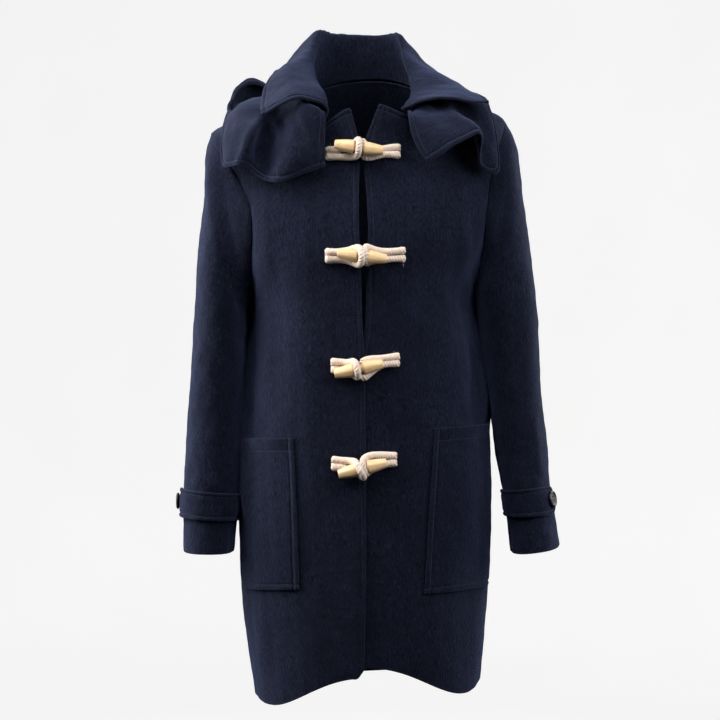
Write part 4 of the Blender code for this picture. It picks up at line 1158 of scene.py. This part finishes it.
def rolled(points, to_edge):
    """Rolls the hood's face edge over where it stands up behind the right shoulder."""
    behind = smooth((-points[..., 0] - 0.112) / 0.024) * smooth((points[..., 1] + 0.008) / 0.024)
    up = ROLL_RISE * smooth((ROLL_REACH - to_edge) / (ROLL_REACH - ROLL_WIDTH))
    over = np.clip(1 - to_edge / ROLL_WIDTH, 0.0, 1.0)
    shift = np.stack([0 * over, -ROLL_FORWARD * over, up - ROLL_DROP * over**1.2], axis=-1)
    return points + shift * behind[..., None]


def make_hood():
    middle = (len(HOOD) - 1) / 2
    free, seam = (STITCH_LINES, "stitched"), (SEAM_LINES, "seam")
    for side, start, end, (first_end, last_end), edge, run in (
        ("right", 0, middle - HOOD_CENTRE_SHARE, (free, seam), FIRST_COLUMN, (7, None)),
        ("left", middle + HOOD_CENTRE_SHARE, 2 * middle, (seam, free), LAST_COLUMN, (0, -7)),
    ):
        base = rib_grid(HOOD, np.linspace(start, end, 64), np.linspace(0, 1, 33), HOOD_SEAM_STEP)
        grid = cross_grid(base, RIM, STITCH_LINES, first_end[0], last_end[0], 0.0036, 0.0036)
        points = rolled(grid[..., :3], grid[..., LAST_ROW])
        grid[..., :3] = points
        rise = trim_rise(points, 31, 0.06, 0.0012) + creases_of(points, HOOD_CREASES)
        edges = ("rim", "stitched", first_end[1], last_end[1])
        made, layer = cloth(f"wool_hood_{side}", grid, DOUBLE_CLOTH, NECK_INSIDE, rise, edges)
        lines = [line_at(layer, LAST_ROW, STITCH_AT, *run), line_at(layer, edge, STITCH_AT, 8, -7)]
        thread = stitches(f"stitching_hood_{side}", lines)
        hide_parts(f"hood_{side}")


# ------------------------------------------------------------------ toggles and cords
CORD_RADIUS, STRAND_RADIUS, STRAND_OFFSET, TWIST_PITCH = 0.0042, 0.00203, 0.00229, 0.0098
STRAND_SIDES, LOOSE_FIBRES = 12, 34
GROOVE_TOP, GROOVE_FLOOR = 0.0042, 0.0027  # off the cord's axis: where the painted shade in its grooves begins, and where it is darkest
FLARE, FLARE_REACH, DOME_REACH = 0.30, 0.009, 0.0034  # the cut ends widen, then close like a dome
# Each cord's route in millimetres from its toggle's centre: across, up, and its axis's height off the cloth.
CORD_ROUTES = {
    "right_1": (
        (-41, -1.6, 4.4), (-29, -1.2, 4.4), (-15, 0.5, 4.8), (-5, 7, 8), (-1, 9.6, 15.5),
        (0.4, 5.2, 22.8), (0.2, 0, 25.2), (-0.6, -5.6, 22.4), (-2.2, -9.8, 14.5), (-7, -11.2, 8),
        (-17, -11, 5), (-29, -10.2, 4.4), (-41, -10, 4.4),
    ),
    "left_1": (
        (51, 1.6, 4.4), (41, 1.4, 4.4), (30, -0.4, 4.4), (18, 0.2, 4.6), (8, 5, 5.6), (4.6, 7.6, 10),
        (4.4, 2, 7.4), (4.4, -7.4, 9), (9, -11.4, 8), (21, -9.4, 5), (31, -7.4, 4.4), (41, -7.4, 4.4),
        (51, -7.8, 4.4),
    ),
    "right_2": (
        (-45, 5.4, 4.4), (-31, 5.6, 4.4), (-18, 7.4, 5), (-8.5, 10.6, 9), (-3.6, 9.8, 16),
        (-1.4, 4.6, 23), (-0.2, -1.2, 25.2), (-0.8, -6.6, 22), (-3.4, -10, 14.5), (-9, -8.6, 8),
        (-19, -5.2, 5), (-31, -3.6, 4.4), (-45, -3.4, 4.4),
    ),
    "left_2": (
        (53, 8, 4.4), (38, 6.4, 4.4), (24, 6.4, 5), (11, 9.4, 8), (5.4, 11, 13), (3.4, 7.4, 19.5),
        (4, 0.6, 22.5), (4.2, -5.6, 19), (6, -8.4, 11), (14, -5, 5.4), (27, -3.4, 4.4), (40, -2.4, 4.4),
        (53, -2, 4.4),
    ),
    "right_3": (
        (-34, 8.2, 4.4), (-22, 8, 4.6), (-13.5, 7.4, 6), (-7.2, 9, 12), (-3.6, 7, 20), (-2.4, 1.2, 25),
        (-1.2, -4.8, 22.8), (-1.6, -9.8, 14.5), (-5, -7.8, 7.6), (-13.5, -3.6, 4.8), (-23, -1.4, 4.4),
        (-34, -1, 4.4),
    ),
    "left_3": (
        (50, 15.4, 4.4), (38, 13.8, 4.4), (25, 12.4, 5), (14, 11.6, 6.6), (5.6, 9.4, 9.4), (3, 3, 7.6),
        (2.8, -6, 9), (3.6, -10.2, 13), (8, -10.4, 12), (13.5, -5.8, 7), (22, 1.4, 4.6), (31, 5, 4.4),
        (40, 6.4, 4.4), (50, 7, 4.4),
    ),
    "right_4": (
        (-38, 10.6, 4.4), (-26, 9.4, 4.6), (-16, 8.8, 6), (-9.6, 8.2, 13), (-6.4, 4.2, 21),
        (-3, -2.2, 25.6), (0.2, -7.6, 22), (1.2, -11, 14), (-2.6, -8.8, 7.6), (-13, -2, 4.8),
        (-25, 1, 4.4), (-38, 1.6, 4.4),
    ),
    "left_4": (
        (42, 14.6, 4.4), (31, 15.2, 4.4), (19, 15.8, 5.4), (9, 15.4, 9), (2, 12.2, 15), (0, 7, 20.6),
        (1.4, 1, 21.8), (3.6, -4.6, 18), (6, -5.4, 10), (15, 0.4, 5), (29, 5, 4.4), (42, 6.2, 4.4),
    ),
}


def cloth_height(x, z):
    """How far the fronts' outer face stands forward at a place seen from the front."""
    side = "right" if x < FRONT_MEETING else "left"
    point = front_point(side, *place_at(x, z, side), CLOTH / 2)
    return -point[1] + float(body_rise(point[None, None])[0, 0])


def dense_path(knots, step):
    """Points a step apart on a smooth curve through knots."""
    fine = resample(np.array(knots, float)[:, None, :], np.linspace(0, len(knots) - 1, 40 * len(knots)))[:, 0]
    run = np.concatenate([[0.0], np.cumsum(np.linalg.norm(np.diff(fine, axis=0), axis=1))])
    at = np.linspace(0, run[-1], max(8, int(run[-1] / step)))
    return np.stack([np.interp(at, run, fine[:, k]) for k in range(3)], axis=1), at


def carried_frame(path):
    """Unit vectors across a path, carried along it without twisting."""
    way = np.gradient(path, axis=0)
    way /= np.linalg.norm(way, axis=1, keepdims=True)
    across = np.zeros_like(path)
    first = np.cross(way[0], (0.3, 1.0, 0.2))
    across[0] = first / np.linalg.norm(first)
    for index in range(1, len(path)):
        moved = across[index - 1] - way[index] * (across[index - 1] @ way[index])
        across[index] = moved / np.linalg.norm(moved)
    return way, across, np.cross(way, across)


def tube(path, radii, sides, points, faces):
    """Adds a closed tube round a path."""
    _, u, v = carried_frame(path)
    first = len(points)
    for place, a, b, radius in zip(path, u, v, radii):
        for k in range(sides):
            angle = 2 * math.pi * k / sides
            points.append(place + (a * math.cos(angle) + b * math.sin(angle)) * radius)
    faces.extend(ring_faces(len(path), sides, first))


def make_cord(name, knots, seed, replaced):
    rng = np.random.default_rng(seed)
    path, run = dense_path(knots, 0.0009)
    _, u, v = carried_frame(path)
    points, faces = [], []
    ends = np.minimum(run, run[-1] - run)
    flare = 1 + FLARE * np.exp(-ends / FLARE_REACH)
    close = np.clip(ends / DOME_REACH, 0, 1)
    dome = np.sqrt(1 - (1 - close) ** 2)
    swell = 1 + 0.05 * np.sin(run / 0.011 + rng.uniform(0, 6))
    swell += 0.03 * np.sin(run / 0.0047 + rng.uniform(0, 6))
    for strand in range(3):
        phase = 2 * math.pi * strand / 3 + rng.uniform(-0.15, 0.15)
        angle = phase + 2 * math.pi * run / TWIST_PITCH + 0.25 * np.sin(run / 0.017 + seed)
        offset = STRAND_OFFSET * flare * swell * (0.45 + 0.55 * dome)
        line = path + (u * np.cos(angle)[:, None] + v * np.sin(angle)[:, None]) * offset[:, None]
        radii = STRAND_RADIUS * flare * swell * (0.25 + 0.75 * dome)
        tube(line, radii, STRAND_SIDES, points, faces)
    axis = np.tile(np.repeat(path, STRAND_SIDES, axis=0), (3, 1))
    from_axis = np.linalg.norm(np.array(points) - axis, axis=1)
    # painted shade: 0 on the plies' crowns, 1 deep in the grooves between them
    groove = np.clip((GROOVE_TOP - from_axis) / (GROOVE_TOP - GROOVE_FLOOR), 0, 1)
    for _ in range(LOOSE_FIBRES):  # half of them at the cut ends
        at_end = rng.uniform() < 0.5
        index = int(rng.integers(2, 9)) if at_end else int(rng.integers(10, len(path) - 10))
        index = len(path) - 1 - index if rng.uniform() < 0.5 else index
        angle = rng.uniform(0, 2 * math.pi)
        away = u[index] * math.cos(angle) + v[index] * math.sin(angle)
        start = path[index] + away * CORD_RADIUS * 0.95
        length = rng.uniform(0.0012, 0.0034 if at_end else 0.0024)
        lean = rng.normal(size=3) * 0.7
        hair = [start, start + (away + lean * 0.3) * length * 0.5, start + (away + lean) * length]
        hair_path, _ = dense_path(hair, length / 5)
        tube(hair_path, np.linspace(0.00009, 0.00004, len(hair_path)), 3, points, faces)
    made = link_mesh(name, points, faces, "cotton")
    add_values(made, "groove", np.concatenate([groove, np.zeros(len(points) - len(groove))]))
    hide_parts(replaced)


WAIST_RADIUS, WAIST_HALF, WIDEST, TIP = 0.0054, 0.0068, 0.0085, 0.0054
TOGGLE_PROFILE = (  # (radius, distance from the middle), one half
    (WAIST_RADIUS, 0.0), (WAIST_RADIUS, WAIST_HALF - 0.0022), (WAIST_RADIUS + 0.0012, WAIST_HALF - 0.0012),
    (WIDEST - 0.0006, WAIST_HALF - 0.0004), (WIDEST, WAIST_HALF + 0.0006),
    (WIDEST * 0.985, WAIST_HALF + 0.0040), (WIDEST * 0.91, 0.0165), (WIDEST * 0.78, 0.0235),
    (TIP + 0.0003, 0.0290), (TIP - 0.0001, 0.0300), (TIP - 0.0007, 0.0305), (TIP * 0.5, 0.0303),
    (0.0002, 0.0302),
)


def make_toggle(number, centre, axis):
    turns = 56
    half = np.array(TOGGLE_PROFILE)
    profile = np.vstack([half[::-1] * np.array((1, -1)), half[1:]])
    fine = resample(profile[:, None, :], np.linspace(0, len(profile) - 1, 4 * len(profile)))[:, 0]
    fine[:, 0] = np.maximum(fine[:, 0], 0.0002)
    side = np.array((0.0, -1.0, 0.0))
    up = np.cross(axis, side)
    points = []
    for radius, reach in fine:
        for k in range(turns):
            angle = 2 * math.pi * k / turns
            # The cane is a little bent and uneven.
            bent = 0.0004 * math.sin(reach / 0.021 + number)
            r = radius * (1 + 0.012 * math.sin(2 * angle + number) + 0.014 * math.cos(7 * angle + 2 * number))
            round_axis = side * math.cos(angle) + up * math.sin(angle)
            points.append(centre + axis * reach + round_axis * r + up * bent)
    made = link_mesh(f"bamboo_toggle_{number}", points, ring_faces(len(fine), turns), "bamboo")
    add_values(made, "reach", np.repeat(fine[:, 1], turns))
    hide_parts(f"toggle_{number}")


def make_fastenings():
    for number, (centre_x, centre_z, tilt_degrees) in enumerate(FASTENINGS, 1):
        middle = cloth_height(centre_x, centre_z)
        tilt = math.radians(tilt_degrees)
        axis = np.array((math.cos(tilt), 0.0, math.sin(tilt)))
        make_toggle(number, np.array((centre_x, -middle - TOGGLE_STAND, centre_z)), axis)
        for side in ("right", "left"):
            knots = []
            for across, up, stand in CORD_ROUTES[f"{side}_{number}"]:
                x, z = centre_x + across / 1000, centre_z + up / 1000
                share = smooth((abs(across) / 1000 - CORD_FOLLOWS[0]) / (CORD_FOLLOWS[1] - CORD_FOLLOWS[0]))
                height = middle + (cloth_height(x, z) - middle) * float(share)
                knots.append((x, -height - stand / 1000, z))
            node = f"toggle_cord_{side}_{number}"
            make_cord(f"cotton_cord_{side}_{number}", knots, number * 10 + (side == "left"), node)


# ------------------------------------------------------------------ stage and light
WORLD_STRENGTH, PAPER_GLOW = 0.02, 0.852
STAGE_PROFILE = (  # (radius, height) of the round backdrop, from the middle of the floor
    (0.0, -1.45), (1.5, -1.45), (3.2, -1.45), (3.75, -1.40), (4.1, -1.22), (4.3, -0.90), (4.4, -0.40),
    (4.4, 1.5), (4.4, 3.4),
)


def make_stage():
    turns = 96
    profile = resample(np.array(STAGE_PROFILE)[:, None, :], np.linspace(0, len(STAGE_PROFILE) - 1, 60))[:, 0]
    profile[0, 0] = 0.001
    points = [
        (r * math.cos(2 * math.pi * k / turns), r * math.sin(2 * math.pi * k / turns), z)
        for r, z in profile for k in range(turns)
    ]
    mesh = bpy.data.meshes.new("studio_floor")
    mesh.from_pydata(points, [], ring_faces(len(profile), turns)[:-1])  # open at the top
    mesh.materials.append(materials["paper"])
    mesh.shade_smooth()
    floor = bpy.data.objects.new("studio_floor", mesh)
    scene.collection.objects.link(floor)
    floor.visible_diffuse = False
    floor.visible_glossy = False


WARM, COOL, PLAIN = (1.0, 0.99, 0.975), (0.98, 0.99, 1.0), (1.0, 1.0, 1.0)
LIGHTS = (
    # name, place, width, height, watts, colour
    ("key_left", (-1.674, -0.0, 0.045), 0.5, 0.9, 31.4, WARM),
    ("key_left_front", (-1.636, -0.438, -0.102), 0.5, 0.9, 10.2, WARM),
    ("key_left_high", (-1.063, -0.387, 0.881), 0.6, 0.6, 24.3, WARM),
    ("fill_left", (-1.225, -1.46, 0.85), 0.9, 0.9, 12.1, (1.0, 1.0, 0.99)),
    ("top_front", (0.0, -1.543, 1.589), 1.2, 1.0, 21.3, PLAIN),
    ("fill_right", (1.329, -1.584, 0.502), 0.9, 0.9, 20.8, PLAIN),
    ("rim_right", (1.634, -0.595, 0.216), 0.5, 0.9, 16.7, COOL),
    ("edge_right", (1.552, 0.627, 0.045), 0.5, 1.1, 10.5, COOL),
    ("back_left", (-1.158, 1.381, 1.012), 1.0, 1.2, 29.4, PLAIN),
    ("back_right", (1.282, 1.527, 0.68), 1.0, 1.2, 18.9, PLAIN),
)
LIT = (0.0, 0.0, -0.25)  # every light faces this place


def make_lights():
    for name, place, width, height, watts, colour in LIGHTS:
        data = bpy.data.lights.new(name, "AREA")
        data.shape, data.size, data.size_y = "RECTANGLE", width, height
        data.energy, data.color = watts, colour
        lamp = bpy.data.objects.new(name, data)
        lamp.location = place
        lamp.rotation_euler = (Vector(LIT) - Vector(place)).to_track_quat("-Z", "Y").to_euler()
        scene.collection.objects.link(lamp)
    world = bpy.data.worlds.new("studio")
    world.use_nodes = True
    world.node_tree.nodes["Background"].inputs["Color"].default_value = (0.93, 0.96, 1.0, 1.0)
    world.node_tree.nodes["Background"].inputs["Strength"].default_value = WORLD_STRENGTH
    scene.world = world
    scene.view_settings.view_transform = "Standard"
    scene.view_settings.look = "None"
    scene.view_settings.exposure = 0.0


# ------------------------------------------------------------------ making it
materials = make_materials()
make_stage()
make_lights()
make_fronts()
make_back()
make_sleeves()
make_tabs()
make_pockets()
make_collar()
make_hood()
make_fastenings()
